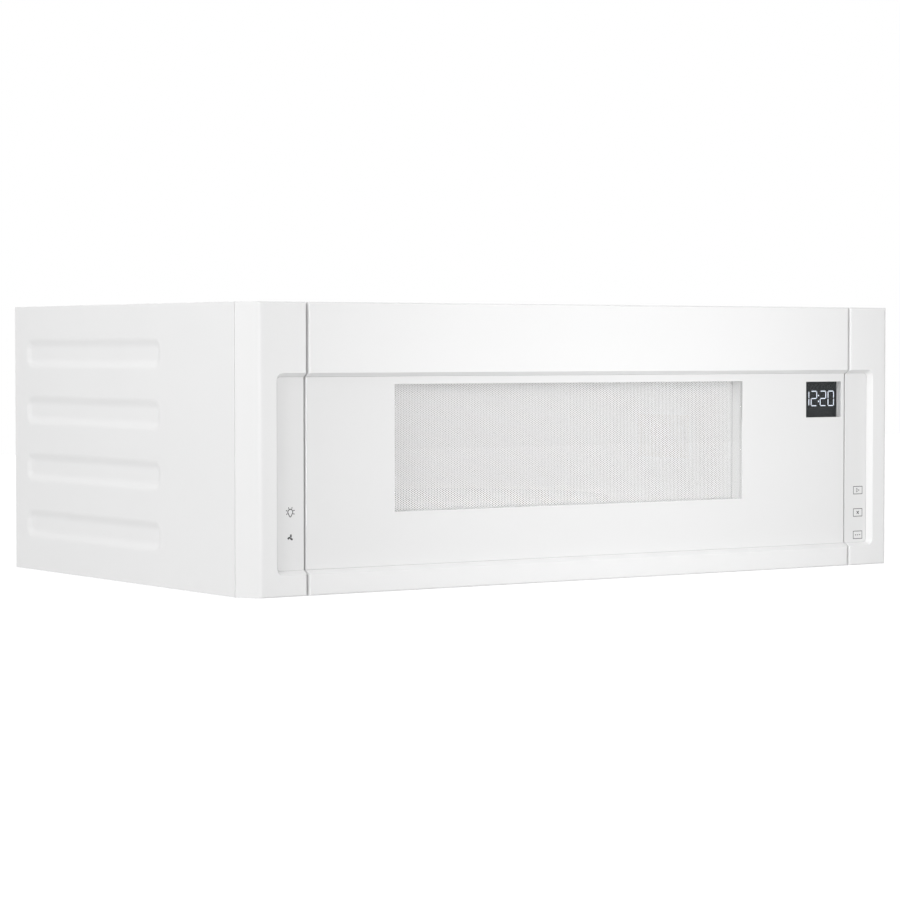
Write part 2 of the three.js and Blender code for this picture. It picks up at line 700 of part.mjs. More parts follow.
/** The steel panel that closes the door's back, with the hollow choke that faces the oven. */
function doorInnerPanel() {
  const panelX = grow([-doorX, doorX], -DOOR_PANEL_INSET);
  const panelZ = [HINGE_HEIGHT + DOOR_PANEL_INSET, CASE_HEIGHT - DOOR_PANEL_INSET];
  const panel = box(panelX, [doorPanelFront, doorPanelBack], panelZ);
  const outerWall = box(chokeX, [doorPanelFront, chokeBack], chokeZ).subtract(
    box(grow(chokeX, -SHEET), [doorPanelFront - SHEET, chokeBack + SHEET], grow(chokeZ, -SHEET)));
  const innerWall = box(
    grow(chokeInnerX, SHEET), [doorPanelFront, chokeBack], grow(chokeInnerZ, SHEET)).subtract(
    box(chokeInnerX, [doorPanelFront - SHEET, chokeBack + SHEET], chokeInnerZ));
  const through = grow([doorPanelFront, doorPanelBack], SHEET);
  const opening = box(windowX, through, windowZ);
  const tongueSlots = latchX.map((x) =>
    box(around(x, LATCH_WIDTH + 2 * RUNNING_GAP), through, grow([latchLow, latchHigh], RUNNING_GAP)));
  return cut(join([panel, outerWall, innerWall]), [opening, ...tongueSlots]);
}

function chokeCover() {
  const y = [chokeCoverBack - CHOKE_COVER, chokeCoverBack];
  return box(chokeX, y, chokeZ).subtract(box(chokeInnerX, grow(y, SHEET), chokeInnerZ));
}

function doorInnerWindow() {
  const y = doorPanelBack + GAP;
  return box(grow(chokeInnerX, -GAP), [y, y + INNER_WINDOW], grow(chokeInnerZ, -GAP));
}

/** The bar inside the door's top band, with a tongue for each latch bracket. */
function latchBar() {
  const y = caseFront + WALL + GAP;
  const middle = (latchLow + latchHigh) / 2;
  const bar = box(grow(latchX, LATCH_WIDTH), [y, y + LATCH_WIDTH], around(middle, LATCH_BAR));
  const tongues = latchX.map((x) =>
    box(around(x, LATCH_WIDTH), [y, latchTip], [latchLow, latchHigh]));
  return join([bar, ...tongues]);
}

/** A steel arm inside the door's end, with the pin that turns in the front plate's ear. */
function hingeArm(side) {
  const face = doorX - WALL - GAP;
  const y = [doorWebBack + GAP, frontBack - GAP];
  const span = [side * (face - HINGE_ARM), side * face];
  const arm = box(span, y, [WALL + GAP, WALL + GAP + HINGE_ARM_HEIGHT]);
  const boss = rod("x", HINGE_HEIGHT - WALL - GAP, span, hingeY, HINGE_HEIGHT);
  const tip = doorX + DOOR_GAP + WALL + GAP + HINGE_EAR + 2 * GAP;
  const pin = rod("x", PIN_RADIUS, [side * (face - HINGE_ARM), side * tip], hingeY, HINGE_HEIGHT);
  return join([arm, boss, pin]);
}

// ---------------------------------------------------------------- latch brackets and door switch

/** A bracket behind a latch slot, open at both ends for the tongue. */
function latchBracket(x) {
  const y = [plateBack + GAP, bracketBack];
  const body = box(around(x, 2 * (slotHalf + BRACKET_WALL)), y, grow(slotZ, BRACKET_WALL / 2));
  return body.subtract(box(around(x, 2 * slotHalf), grow(y, SHEET), slotZ));
}

const plungerHeight = (latchLow + latchHigh) / 2;

/** The switch that one tongue works, with a blind bore for its plunger. */
function doorSwitch(x) {
  const y = [bracketBack + GAP, bracketBack + GAP + SWITCH_DEPTH];
  const body = box(around(x, 2 * (slotHalf + SWITCH_LAP)), y, around(plungerHeight, SWITCH_HEIGHT));
  const boreEnd = latchTip + GAP + PLUNGER_LENGTH + PLUNGER_TRAVEL + 2 * GAP;
  return body.subtract(rod("y", PLUNGER_RADIUS + GAP, [y[0] - SHEET, boreEnd], x, plungerHeight));
}

function switchPlunger(x) {
  const start = latchTip + GAP;
  return rod("y", PLUNGER_RADIUS, [start, start + PLUNGER_LENGTH], x, plungerHeight);
}

// ---------------------------------------------------------------- oven cavity

/** A grid of round holes along X, for the lamp's light or for air. */
function holeGrid(x, centreY, centreZ, rows) {
  const holes = [];
  for (const y of spread(HOLE_COLUMNS, HOLE_PITCH, centreY)) {
    for (const z of spread(rows, HOLE_PITCH, centreZ)) {
      holes.push(rod("x", HOLE_RADIUS, grow(x, SHEET), y, z, 6));
    }
  }
  return holes;
}

const sourceZ = (cavityZ[0] + cavityZ[1]) / 2;
const lampY = cavityFront + LAMP_FROM_FRONT;
const lampZ = cavityZ[1] - LAMP_FROM_TOP;
const wallY = [cavityFront, cavityY[1] - GAP];
const wallZ = grow(cavityZ, -GAP);

/** The oven's left wall, with its air holes. */
function cavityLeftWall() {
  const x = [cavityOuterX[0], cavityX[0]];
  const holesY = cavityY[1] - AIR_HOLES_FROM_BACK;
  const holesZ = cavityZ[1] - AIR_HOLES_FROM_TOP;
  return cut(box(x, wallY, wallZ), holeGrid(x, holesY, holesZ, AIR_HOLE_ROWS));
}

/** The oven's right wall, with the lamp's holes and the waveguide's mouth. */
function cavityRightWall() {
  const x = [cavityX[1], cavityOuterX[1]];
  const mouth = box(
    grow(x, SHEET), around(turnY, WAVEGUIDE_MOUTH), around(sourceZ, WAVEGUIDE_HEIGHT / 2));
  return cut(box(x, wallY, wallZ), [...holeGrid(x, lampY, lampZ, LAMP_HOLE_ROWS), mouth]);
}

function cavityCeiling() {
  return box(cavityOuterX, wallY, [cavityZ[1], cavityZ[1] + CAVITY_SHEET]);
}

/** The oven's floor, with a hole for the turntable's shaft. */
function cavityFloor() {
  const z = [floorTop - CAVITY_SHEET, floorTop];
  const shaftHole = rod("z", COUPLER_SHAFT + RUNNING_GAP, grow(z, SHEET), turnX, turnY);
  return box(cavityOuterX, wallY, z).subtract(shaftHole);
}

function cavityBackWall() {
  return box(cavityOuterX, [cavityY[1], cavityY[1] + CAVITY_SHEET], grow(cavityZ, CAVITY_SHEET));
}

/** The thin sheet that covers the waveguide's mouth inside the oven. */
function waveguideCover() {
  const x = cavityX[1] - GAP;
  return box(
    [x - CAVITY_SHEET, x],
    around(turnY, WAVEGUIDE_MOUTH + 2 * SIDE_CLEARANCE),
    around(sourceZ, WAVEGUIDE_HEIGHT / 2 + 2 * SIDE_CLEARANCE));
}

// ---------------------------------------------------------------- microwave source

const waveguideX = [bayX[0], bayX[0] + WAVEGUIDE_DEPTH];
const waveguideY = around(turnY, WAVEGUIDE_LENGTH);
const waveguideZ = around(sourceZ, WAVEGUIDE_HEIGHT);

/** A duct open towards the oven wall, with a round hole for the magnetron's antenna. */
function waveguide() {
  const duct = box(waveguideX, waveguideY, waveguideZ);
  const inside = box(
    [waveguideX[0] - SHEET, waveguideX[1] - SHEET], grow(waveguideY, -SHEET), grow(waveguideZ, -SHEET));
  const holeSpan = [waveguideX[1] - 2 * SHEET, waveguideX[1] + SHEET];
  const antennaHole = rod("x", ANTENNA_RADIUS + 2 * GAP, holeSpan, turnY, sourceZ);
  return cut(duct, [inside, antennaHole]);
}

/** Antenna, yoke, anode with its fins, and the filter box at the far end. */
function magnetron() {
  const start = waveguideX[1] + GAP;
  const yokeEnd = start + YOKE_DEPTH;
  const y = around(turnY, YOKE_WIDTH);
  const z = around(sourceZ, YOKE_HEIGHT);
  const antenna = rod("x", ANTENNA_RADIUS, [start - ANTENNA_LENGTH, start + SHEET], turnY, sourceZ);
  const yoke = box([start, yokeEnd], y, z).subtract(
    box([start + YOKE_SHEET, yokeEnd - YOKE_SHEET], grow(y, SHEET), grow(z, -YOKE_SHEET)));
  const anode = rod("x", ANODE_RADIUS, [start + SHEET, yokeEnd - SHEET], turnY, sourceZ);
  const fins = spread(FIN_COUNT, YOKE_DEPTH / (FIN_COUNT + 1), (start + yokeEnd) / 2).map((x) =>
    box(around(x, FIN_SHEET), grow(y, -YOKE_SHEET), grow(z, -YOKE_SHEET / 2)));
  const filterBox = box(
    [yokeEnd - SHEET, yokeEnd + FILTER_BOX], grow(y, -YOKE_SHEET * 4), around(sourceZ, YOKE_HEIGHT / 2));
  return join([antenna, yoke, anode, ...fins, filterBox]);
}

const coreX = (bayX[0] + bayX[1]) / 2;
const coreY = cavityFront + 2 * BAY_MARGIN + CORE_STACK / 2;
const coreZ = [flangeLow, flangeLow + CORE_HEIGHT];

/** Laminated core with a window on each side of its middle limb. */
function transformerCore() {
  const block = box(around(coreX, CORE_WIDTH), around(coreY, CORE_STACK), coreZ);
  const windows = [-1, 1].map((side) => {
    const inner = coreX + side * CORE_LIMB;
    const outer = coreX + side * (CORE_WIDTH / 2 - CORE_LIMB);
    return box([inner, outer], around(coreY, 2 * CORE_STACK), grow(coreZ, -CORE_LIMB));
  });
  return cut(block, windows);
}

/** The coil on the core's middle limb. */
function transformerWinding() {
  const z = grow(coreZ, -CORE_LIMB - GAP);
  const outerX = CORE_WIDTH - 2 * CORE_LIMB - 2 * GAP;
  const coil = box(around(coreX, outerX), around(coreY, CORE_STACK + 2 * WINDING_BULGE), z);
  const limb = box(
    around(coreX, 2 * (CORE_LIMB + GAP)), around(coreY, CORE_STACK + 2 * GAP), grow(z, SHEET));
  return coil.subtract(limb);
}

/** An oval can that stands on the base pan, behind the cooling fan's motor. */
function capacitor() {
  const y = fanMotorFront + FAN_MOTOR_DEPTH + BAY_MARGIN;
  const shape = rectangle(around(coreX, CAPACITOR_WIDTH), [y, y + CAPACITOR_DEPTH], CAPACITOR_CORNER);
  const can = extrude("z", shape, [flangeLow, flangeLow + CAPACITOR_HEIGHT]);
  const tabs = spread(2, CAPACITOR_WIDTH / 3, coreX).map((x) => box(
    around(x, FIN_SHEET), around(y + CAPACITOR_DEPTH / 2, LATCH_WIDTH),
    [flangeLow + CAPACITOR_HEIGHT - SHEET, flangeLow + CAPACITOR_HEIGHT + LATCH_WIDTH]));
  return join([can, ...tabs]);
}

/** The control board on four posts behind the front plate. */
function controlBoard() {
  const x = grow(bayX, -BAY_MARGIN);
  const top = slotZ[0] - SIDE_CLEARANCE;
  const z = [top - BOARD_HEIGHT, top];
  const start = plateBack + GAP;
  const sheet = box(x, [start + STAND_OFF, start + STAND_OFF + BOARD_SHEET], z);
  const posts = [];
  for (const postX of grow(x, -SIDE_CLEARANCE)) {
    for (const postZ of grow(z, -SIDE_CLEARANCE)) {
      posts.push(rod("y", FAN_SHAFT, [start, start + STAND_OFF + SHEET], postX, postZ, 8));
    }
  }
  const relayY = [start + STAND_OFF, start + STAND_OFF + RELAY_DEPTH];
  const relays = spread(RELAY_COUNT, RELAY_PITCH, (x[0] + x[1]) / 2).map((relayX) =>
    box(around(relayX, RELAY_WIDTH), relayY, around(z[0] + RELAY_PITCH, RELAY_HEIGHT)));
  return join([sheet, ...posts, ...relays]);
}

/** The oven lamp in its holder, outside the lamp holes. */
function cavityLamp() {
  const x = [bayX[0], bayX[0] + LAMP_HOLDER_DEPTH];
  const y = around(lampY, LAMP_HOLDER_WIDTH);
  const z = around(lampZ, LAMP_HOLDER_HEIGHT);
  const inside = box(
    [x[0] - SHEET, x[1] - LAMP_HOLDER_WALL], grow(y, -LAMP_HOLDER_WALL), grow(z, -LAMP_HOLDER_WALL));
  const bulb = rod("x", BULB_RADIUS, [x[0] + LAMP_FROM_WALL, x[1] - SHEET], lampY, lampZ, 12);
  return box(x, y, z).subtract(inside).add(bulb);
}

// ---------------------------------------------------------------- cooling fan

const fanX = coreX;
const fanZ = sourceZ;
const shroudFront = turnY + YOKE_WIDTH / 2 + 3 * BAY_MARGIN;
const ringDepth = FAN_DEPTH + FAN_END_GAP;
const bridgeFront = shroudFront + SHEET + ringDepth;

/** A plate with a ring round the blade and a bridge that carries the motor. */
function fanShroud() {
  const y = [shroudFront, shroudFront + 2 * SHEET];
  const plate = box([bayX[0], caseRight - FLANGE - GAP], y, [flangeLow, cavityZ[1]]);
  const ringInner = FAN_RADIUS + FAN_TIP_GAP;
  const ringOuter = ringInner + 2 * SHEET;
  const ring = rod("y", ringOuter, [y[0], bridgeFront], fanX, fanZ, 24);
  const bore = rod("y", ringInner, [y[0] - SHEET, bridgeFront + SHEET], fanX, fanZ, 24);
  const bridgeY = [bridgeFront - SHEET, bridgeFront + 2 * SHEET];
  const bridge = box(around(fanX, 2 * ringOuter), bridgeY, around(fanZ, 2 * FAN_HUB));
  const shaftHole = rod("y", FAN_SHAFT + RUNNING_GAP, grow(bridgeY, SHEET), fanX, fanZ);
  return join([plate, ring]).subtract(bore).add(bridge).subtract(shaftHole);
}

const fanMotorFront = bridgeFront + 2 * SHEET + GAP;

/** The fan's motor, with a blind bore for the shaft. */
function fanMotor() {
  const y = [fanMotorFront, fanMotorFront + FAN_MOTOR_DEPTH];
  const boreSpan = [fanMotorFront - SHEET, fanMotorFront + FAN_MOTOR_DEPTH / 2];
  const bore = rod("y", FAN_SHAFT + RUNNING_GAP, boreSpan, fanX, fanZ);
  return box(around(fanX, FAN_MOTOR), y, around(fanZ, FAN_MOTOR)).subtract(bore);
}

/** Hub, shaft and pitched blades, about an axis along Y through the origin. */
function fanBlade() {
  const start = shroudFront + SHEET;
  const end = start + FAN_DEPTH;
  const hub = rod("y", FAN_HUB, [start, end], 0, 0, 16);
  const shaft = rod("y", FAN_SHAFT, [start, fanMotorFront + FAN_MOTOR_DEPTH / 2 - 2 * GAP], 0, 0);
  const blades = Array.from({ length: FAN_BLADES }, (_, index) => {
    const blade = new THREE.BoxGeometry(FAN_CHORD, SHEET, FAN_RADIUS - FAN_HUB / 2);
    blade.rotateZ(FAN_PITCH);
    blade.translate(0, (start + end) / 2, (FAN_RADIUS + FAN_HUB / 2) / 2 - FAN_TIP_GAP);
    blade.rotateY(index * 2 * Math.PI / FAN_BLADES);
    return solid(blade);
  });
  return join([hub, shaft, ...blades]);
}

// ---------------------------------------------------------------- turntable

const turnMotorTop = cavityZ[0] - CAVITY_SHEET - GAP;

/** The turntable's motor, with a blind bore for the shaft. */
function turntableMotor() {
  const can = rod("z", TURN_MOTOR_RADIUS, [turnMotorTop - TURN_MOTOR_HEIGHT, turnMotorTop], 0, 0, 20);
  const boreSpan = [turnMotorTop - COUPLER_ENTRY - GAP, turnMotorTop + SHEET];
  return can.subtract(rod("z", COUPLER_SHAFT + RUNNING_GAP, boreSpan, 0, 0));
}

/** Three lobes under the tray, on the shaft that reaches down into the motor. */
function turntableCoupler() {
  const z = grow([floorTop, trayUnder], -GAP);
  const lobes = rollerTurns.map((turn) => {
    const lobe = new THREE.BoxGeometry(COUPLER_RADIUS, COUPLER_LOBE, z[1] - z[0]);
    lobe.translate(COUPLER_RADIUS / 2, 0, (z[0] + z[1]) / 2);
    return solid(lobe.rotateZ(turn));
  });
  const hub = rod("z", COUPLER_HUB, z, 0, 0, 12);
  const shaft = rod("z", COUPLER_SHAFT, [turnMotorTop - COUPLER_ENTRY, floorTop + GAP + SHEET], 0, 0);
  return join([hub, shaft, ...lobes]);
}

/** The glass tray, a shallow dish with a raised rim. */
function glassTray() {
  const rimInner = trayRadius - TRAY_GLASS;
  return turned([
    [0, trayUnder],
    [trayRadius - TRAY_FOOT_INSET, trayUnder],
    [trayRadius, trayUnder + TRAY_RIM - TRAY_GLASS],
    [trayRadius, trayUnder + TRAY_RIM],
    [rimInner, trayUnder + TRAY_RIM],
    [rimInner - TRAY_SLOPE, trayUnder + TRAY_GLASS],
    [0, trayUnder + TRAY_GLASS],
  ], 72);
}

/** The ring with its hub collar, three spokes and three axles. */
function rollerRing() {
  const z = around(rollerHeight, RING_THICKNESS);
  const ringOuter = rollerTrack - ROLLER_WIDTH / 2 - GAP;
  const band = (inner, outer, sides) => turned([
    [inner, z[0]], [outer, z[0]], [outer, z[1]], [inner, z[1]],
  ], sides);
  const collarInner = COUPLER_RADIUS + COUPLER_GAP;
  const collar = band(collarInner, collarInner + RING_WIDTH, 24);
  const spokeInner = collarInner + RING_WIDTH / 2;
  const spokeOuter = ringOuter - RING_WIDTH / 2;
  const axleLength = RING_WIDTH + ROLLER_WIDTH + GAP;
  const spokes = rollerTurns.map((turn) => {
    const spoke = new THREE.BoxGeometry(spokeOuter - spokeInner, RING_WIDTH, RING_THICKNESS);
    spoke.translate((spokeOuter + spokeInner) / 2, 0, rollerHeight);
    return solid(spoke.rotateZ(turn));
  });
  const axles = rollerTurns.map((turn) => {
    const axle = new THREE.CylinderGeometry(AXLE_RADIUS, AXLE_RADIUS, axleLength, 10);
    axle.rotateZ(-Math.PI / 2).translate(spokeOuter + axleLength / 2, 0, rollerHeight);
    return solid(axle.rotateZ(turn));
  });
  return join([band(ringOuter - RING_WIDTH, ringOuter, 48), collar, ...spokes, ...axles]);
}

/** One roller, its axis along X through the origin. */
function roller() {
  const span = around(0, ROLLER_WIDTH);
  const bore = rod("x", AXLE_RADIUS + GAP, grow(span, SHEET), 0, 0, 12);
  return rod("x", ROLLER_RADIUS, span, 0, 0, 24).subtract(bore);
}

// ---------------------------------------------------------------- exhaust blower

const blowerY = rearFace - housingRadius - SCROLL_GROWTH;
const housingHigh = CASE_HEIGHT - SHEET - GAP - OUTLET_MARGIN;
const blowerZ = housingHigh - housingRadius - 3 * SCROLL_GROWTH;
const housingWidth = WHEEL_WIDTH + 2 * TIP_GAP + 2 * HOUSING_WALL;
const wheelCentre = BLOWER_MOTOR_LENGTH / 2 + 2 * TIP_GAP + housingWidth / 2;

/** The scroll's outline in (y, z): half a spiral below the shaft, then a throat up to the outlet. */
function scroll(margin, top) {
  const shape = new THREE.Shape();
  const radius = WHEEL_RADIUS + TIP_GAP + margin;
  shape.moveTo(-radius, top);
  for (let step = 0; step <= SCROLL_STEPS; step += 1) {
    const turn = step / SCROLL_STEPS;
    const reach = radius + turn * SCROLL_GROWTH;
    shape.lineTo(-reach * Math.cos(turn * Math.PI), -reach * Math.sin(turn * Math.PI));
  }
  shape.lineTo(radius + SCROLL_GROWTH, top);
  return shape;
}

/** A blower housing about the shaft's axis, with an inlet in each end and its outlet on top. */
function blowerHousing() {
  const span = around(0, housingWidth);
  const outlet = housingHigh - blowerZ;
  const shell = extrude("x", scroll(HOUSING_WALL, outlet), span);
  const hollow = extrude("x", scroll(0, outlet + SHEET), grow(span, -HOUSING_WALL));
  const inlet = rod("x", WHEEL_RADIUS - 2 * TIP_GAP, grow(span, SHEET), 0, 0, 20);
  return cut(shell, [hollow, inlet]);
}

/** A squirrel cage wheel on its hub, about an axis along X. */
function blowerWheel() {
  const span = around(0, WHEEL_WIDTH);
  const rim = (x) => rod("x", WHEEL_RADIUS, around(x, 2 * SHEET), 0, 0, 16);
  const eye = rod("x", WHEEL_RADIUS - 2 * TIP_GAP, grow(span, SHEET), 0, 0, 16);
  const rings = [span[0] + SHEET, span[1] - SHEET].map((x) => rim(x).subtract(eye));
  const disc = rim(0);
  const hub = rod("x", 3 * BLOWER_SHAFT, around(0, 6 * BLOWER_SHAFT), 0, 0, 12);
  const blades = Array.from({ length: WHEEL_BLADES }, (_, index) => {
    const blade = new THREE.BoxGeometry(WHEEL_WIDTH - SHEET, SHEET, 2 * TIP_GAP - SHEET);
    blade.rotateX(WHEEL_PITCH);
    blade.translate(0, 0, WHEEL_RADIUS - TIP_GAP);
    return solid(blade.rotateX(index * 2 * Math.PI / WHEEL_BLADES));
  });
  const bore = rod("x", BLOWER_SHAFT + GAP, grow(span, SHEET), 0, 0);
  return join([disc, hub, ...rings, ...blades]).subtract(bore);
}

/** The motor between the two housings, on a foot that reaches the back panel. */
function exhaustMotor() {
  const span = around(0, BLOWER_MOTOR_LENGTH);
  const can = rod("x", BLOWER_MOTOR_RADIUS, span, 0, 0, 24);
  const foot = box(
    around(0, BLOWER_MOTOR_LENGTH / 2), [0, rearFace - blowerY], around(0, BLOWER_MOTOR_RADIUS));
  return can.add(foot).subtract(rod("x", BLOWER_SHAFT + RUNNING_GAP, grow(span, SHEET), 0, 0));
}

function blowerShaft() {
  return rod("x", BLOWER_SHAFT, around(0, 2 * (wheelCentre + 4 * BLOWER_SHAFT)), 0, 0);
}

// ---------------------------------------------------------------- underside

/** A grease filter about its own centre: a rim round a mesh sheet. */
function greaseFilter() {
  const z = [SHEET + GAP, SHEET + GAP + FILTER_THICKNESS];
  const x = around(0, FILTER_WIDTH + 2 * FILTER_LAP);
  const y = around(0, FILTER_LENGTH + 2 * FILTER_LAP);
  const rim = box(x, y, z).subtract(box(grow(x, -FILTER_RIM), grow(y, -FILTER_RIM), grow(z, SHEET)));
  const middle = (z[0] + z[1]) / 2;
  return rim.add(box(grow(x, -SHEET), grow(y, -SHEET), around(middle, FILTER_MESH)));
}

const lensPinZ = SHEET + GAP + LENS_PIN;
const lensPinY = LENS_LENGTH / 2 - LENS_PIN;

/** A clear lens about its own centre, with a pin at each end of its rear edge. */
function cooktopLens() {
  const plate = box(around(0, LENS_WIDTH), around(0, LENS_LENGTH), [0, LENS_THICKNESS]);
  const pin = rod("x", LENS_PIN, around(0, LENS_WIDTH + 2 * LENS_PIN_REACH), lensPinY, lensPinZ, 8);
  return plate.add(pin);
}

/** The lamp housing over a lens, open below, with its bulb. */
function cooktopLamp() {
  const z = [SHEET + GAP, SHEET + GAP + LAMP_HEIGHT];
  const x = around(0, LENS_WIDTH + 4 * LENS_PIN_REACH);
  const y = around(0, LENS_LENGTH + 4 * LENS_PIN_REACH);
  const housing = box(x, y, z).subtract(box(grow(x, -SHEET), grow(y, -SHEET), [z[0] - SHEET, z[1] - SHEET]));
  const bulb = rod("z", BULB_RADIUS, [z[0] + LAMP_HEIGHT / 2, z[1]], 0, 0, 12);
  return housing.add(bulb);
}

// ---------------------------------------------------------------- the assembly

function place(mesh, x, y, z) {
  mesh.position.set(x, y, z);
  return mesh;
}

const SIDES = [["left", -1], ["right", 1]];

function makeCase() {
  const group = new THREE.Group();
  for (const [name, side] of SIDES) {
    group.add(piece(`${name}_side_panel`, sidePanel(side), whitePaint));
    group.add(piece(`${name}_front_strip`, frontStrip(side), whitePlastic));
    group.add(piece(`${name}_touch_panel`, touchPanel(side), touchFilm));
  }
  group.add(piece("top_panel", topPanel(), zincSteel));
  group.add(piece("back_panel", backPanel(), zincSteel));
  group.add(piece("base_pan", basePan(), whitePaint));
  group.add(piece("front_plate", frontPlate(), enamel));
  group.add(cableBush());
  return group;
}

function makeOven() {
  const group = new THREE.Group();
  group.add(piece("cavity_left_wall", cavityLeftWall(), enamel));
  group.add(piece("cavity_right_wall", cavityRightWall(), enamel));
  group.add(piece("cavity_ceiling", cavityCeiling(), enamel));
  group.add(piece("cavity_floor", cavityFloor(), enamel));
  group.add(piece("cavity_back_wall", cavityBackWall(), enamel));
  group.add(piece("waveguide_cover", waveguideCover(), mica));
  group.add(piece("waveguide", waveguide(), zincSteel));
  group.add(piece("magnetron", magnetron(), aluminium));
  group.add(piece("transformer_core", transformerCore(), laminations));
  group.add(piece("transformer_winding", transformerWinding(), copper));
  group.add(piece("capacitor", capacitor(), aluminium));
  group.add(piece("control_board", controlBoard(), boardGreen));
  group.add(piece("cavity_lamp", cavityLamp(), lampGlass));
  return group;
}

function makeLatch() {
  const group = new THREE.Group();
  SIDES.forEach(([name], index) => {
    group.add(piece(`${name}_latch_bracket`, latchBracket(latchX[index]), blackPlastic));
  });
  group.add(piece("door_switch", doorSwitch(latchX[1]), blackPlastic));
  group.add(piece("switch_plunger", switchPlunger(latchX[1]), nylon));
  return group;
}

function makeCoolingFan() {
  const group = new THREE.Group();
  group.add(piece("cooling_fan_shroud", fanShroud(), nylon));
  group.add(piece("cooling_fan_motor", fanMotor(), laminations));
  group.add(place(piece("cooling_fan_blade", fanBlade(), blackPlastic), fanX, 0, fanZ));
  return group;
}

function makeTurntable() {
  const group = new THREE.Group();
  group.position.set(turnX, turnY, 0);
  group.add(piece("turntable_motor", turntableMotor(), zincSteel));
  group.add(piece("turntable_coupler", turntableCoupler(), nylon));
  group.add(piece("glass_tray", glassTray(), trayGlass));
  group.add(piece("roller_ring", rollerRing(), nylon));
  rollerTurns.forEach((turn, index) => {
    const wheel = piece(`roller_${index + 1}`, roller(), nylon);
    wheel.rotation.z = turn;
    group.add(place(wheel, rollerTrack * Math.cos(turn), rollerTrack * Math.sin(turn), rollerHeight));
  });
  return group;
}

function makeBlower() {
  const group = new THREE.Group();
  group.position.set(0, blowerY, blowerZ);
  group.add(piece("exhaust_motor", exhaustMotor(), laminations));
  group.add(piece("blower_shaft", blowerShaft(), zincSteel));
  for (const [name, side] of SIDES) {
    group.add(place(piece(`${name}_blower_wheel`, blowerWheel(), blackPlastic), side * wheelCentre, 0, 0));
    group.add(place(piece(`${name}_blower_housing`, blowerHousing(), zincSteel), side * wheelCentre, 0, 0));
  }
  return group;
}

function makeUnderside() {
  const group = new THREE.Group();
  const lampCentre = (lensY[0] + lensY[1]) / 2;
  for (const [name, side] of SIDES) {
    const filter = piece(`${name}_grease_filter`, greaseFilter(), aluminium);
    const lens = piece(`${name}_cooktop_lens`, cooktopLens(), clearPlastic);
    const lamp = piece(`${name}_cooktop_lamp`, cooktopLamp(), aluminium);
    group.add(place(filter, side * filterX, filterCentreY, 0));
    group.add(place(lens, side * lampX, lampCentre, 0));
    group.add(place(lamp, side * lampX, lampCentre, 0));
  }
  return group;
}

function makeDoor() {
  const group = new THREE.Group();
  group.add(piece("door_frame", doorFrame(), whitePlastic));
  group.add(piece("door_glass", doorGlass(), whiteGlass));
  group.add(piece("display_module", displayModule(), displayBlack));
  group.add(piece("door_screen", doorScreen(), screenSteel));
  group.add(piece("door_inner_panel", doorInnerPanel(), zincSteel));
  group.add(piece("choke_cover", chokeCover(), chokePlastic));
  group.add(piece("door_inner_window", doorInnerWindow(), clearPlastic));
  group.add(piece("latch_bar", latchBar(), nylon));
  for (const [name, side] of SIDES) {
    group.add(piece(`${name}_hinge_arm`, hingeArm(side), zincSteel));
  }
  return group;
}

const microwave = new THREE.Group();
microwave.add(
  makeCase(), makeOven(), makeLatch(), makeCoolingFan(),
  makeTurntable(), makeBlower(), makeUnderside(), makeDoor(),
);

export default microwave;
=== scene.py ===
# %% [markdown]
# # A low profile microwave oven that hangs over a range
# The solid model already has every piece at its real size and place. This lesson dresses it: it gives
# each piece its finish, softens its edges and adds the fine work that a solid model leaves out, such as
# the holes of the door's screen, the clock's digits and the printed marks. Everything is in metres, with
# X to the right as seen from the front, Y towards the wall and Z up.

# %% Load the solid model
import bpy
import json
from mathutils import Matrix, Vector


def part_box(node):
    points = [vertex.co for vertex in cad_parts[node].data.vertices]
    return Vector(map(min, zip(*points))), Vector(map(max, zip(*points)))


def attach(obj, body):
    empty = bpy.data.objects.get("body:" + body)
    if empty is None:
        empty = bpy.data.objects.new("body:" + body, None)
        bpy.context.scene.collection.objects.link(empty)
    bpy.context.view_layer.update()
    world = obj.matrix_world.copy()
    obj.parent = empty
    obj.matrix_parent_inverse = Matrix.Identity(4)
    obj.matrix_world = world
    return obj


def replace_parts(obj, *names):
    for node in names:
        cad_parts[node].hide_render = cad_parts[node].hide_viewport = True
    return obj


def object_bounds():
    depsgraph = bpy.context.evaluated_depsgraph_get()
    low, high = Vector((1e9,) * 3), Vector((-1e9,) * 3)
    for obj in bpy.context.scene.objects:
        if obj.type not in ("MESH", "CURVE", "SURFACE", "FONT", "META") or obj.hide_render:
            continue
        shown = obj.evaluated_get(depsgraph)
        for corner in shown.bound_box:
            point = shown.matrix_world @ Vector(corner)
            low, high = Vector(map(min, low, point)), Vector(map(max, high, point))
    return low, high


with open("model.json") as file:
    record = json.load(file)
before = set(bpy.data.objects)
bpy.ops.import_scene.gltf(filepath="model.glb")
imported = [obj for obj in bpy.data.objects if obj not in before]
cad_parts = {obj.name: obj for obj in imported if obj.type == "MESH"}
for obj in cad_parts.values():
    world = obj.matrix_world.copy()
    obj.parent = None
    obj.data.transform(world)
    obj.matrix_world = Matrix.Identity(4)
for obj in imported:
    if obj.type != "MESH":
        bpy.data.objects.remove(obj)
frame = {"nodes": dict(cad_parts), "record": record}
cad_low, cad_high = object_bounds()
print("solid pieces:", len(frame["nodes"]))

# %% Modules and the measures that every step shares
import json
import math

import bmesh
import bpy
from mathutils import Matrix, Vector

MM = 0.001
SIDES = (("left", -1), ("right", 1))
NODES = frame["nodes"]
BODIES = frame["record"]["behaviour"]["bodies"]
BODY_OF = {node: body for body, members in BODIES.items() for node in members}
SLOT_OF = {entry["node"]: entry["material_slot"] for entry in frame["record"]["subparts"]}
cad_size = [round((high - low) * 1000, 1) for low, high in zip(cad_low, cad_high)]
print("solid model's box in mm:", cad_size)

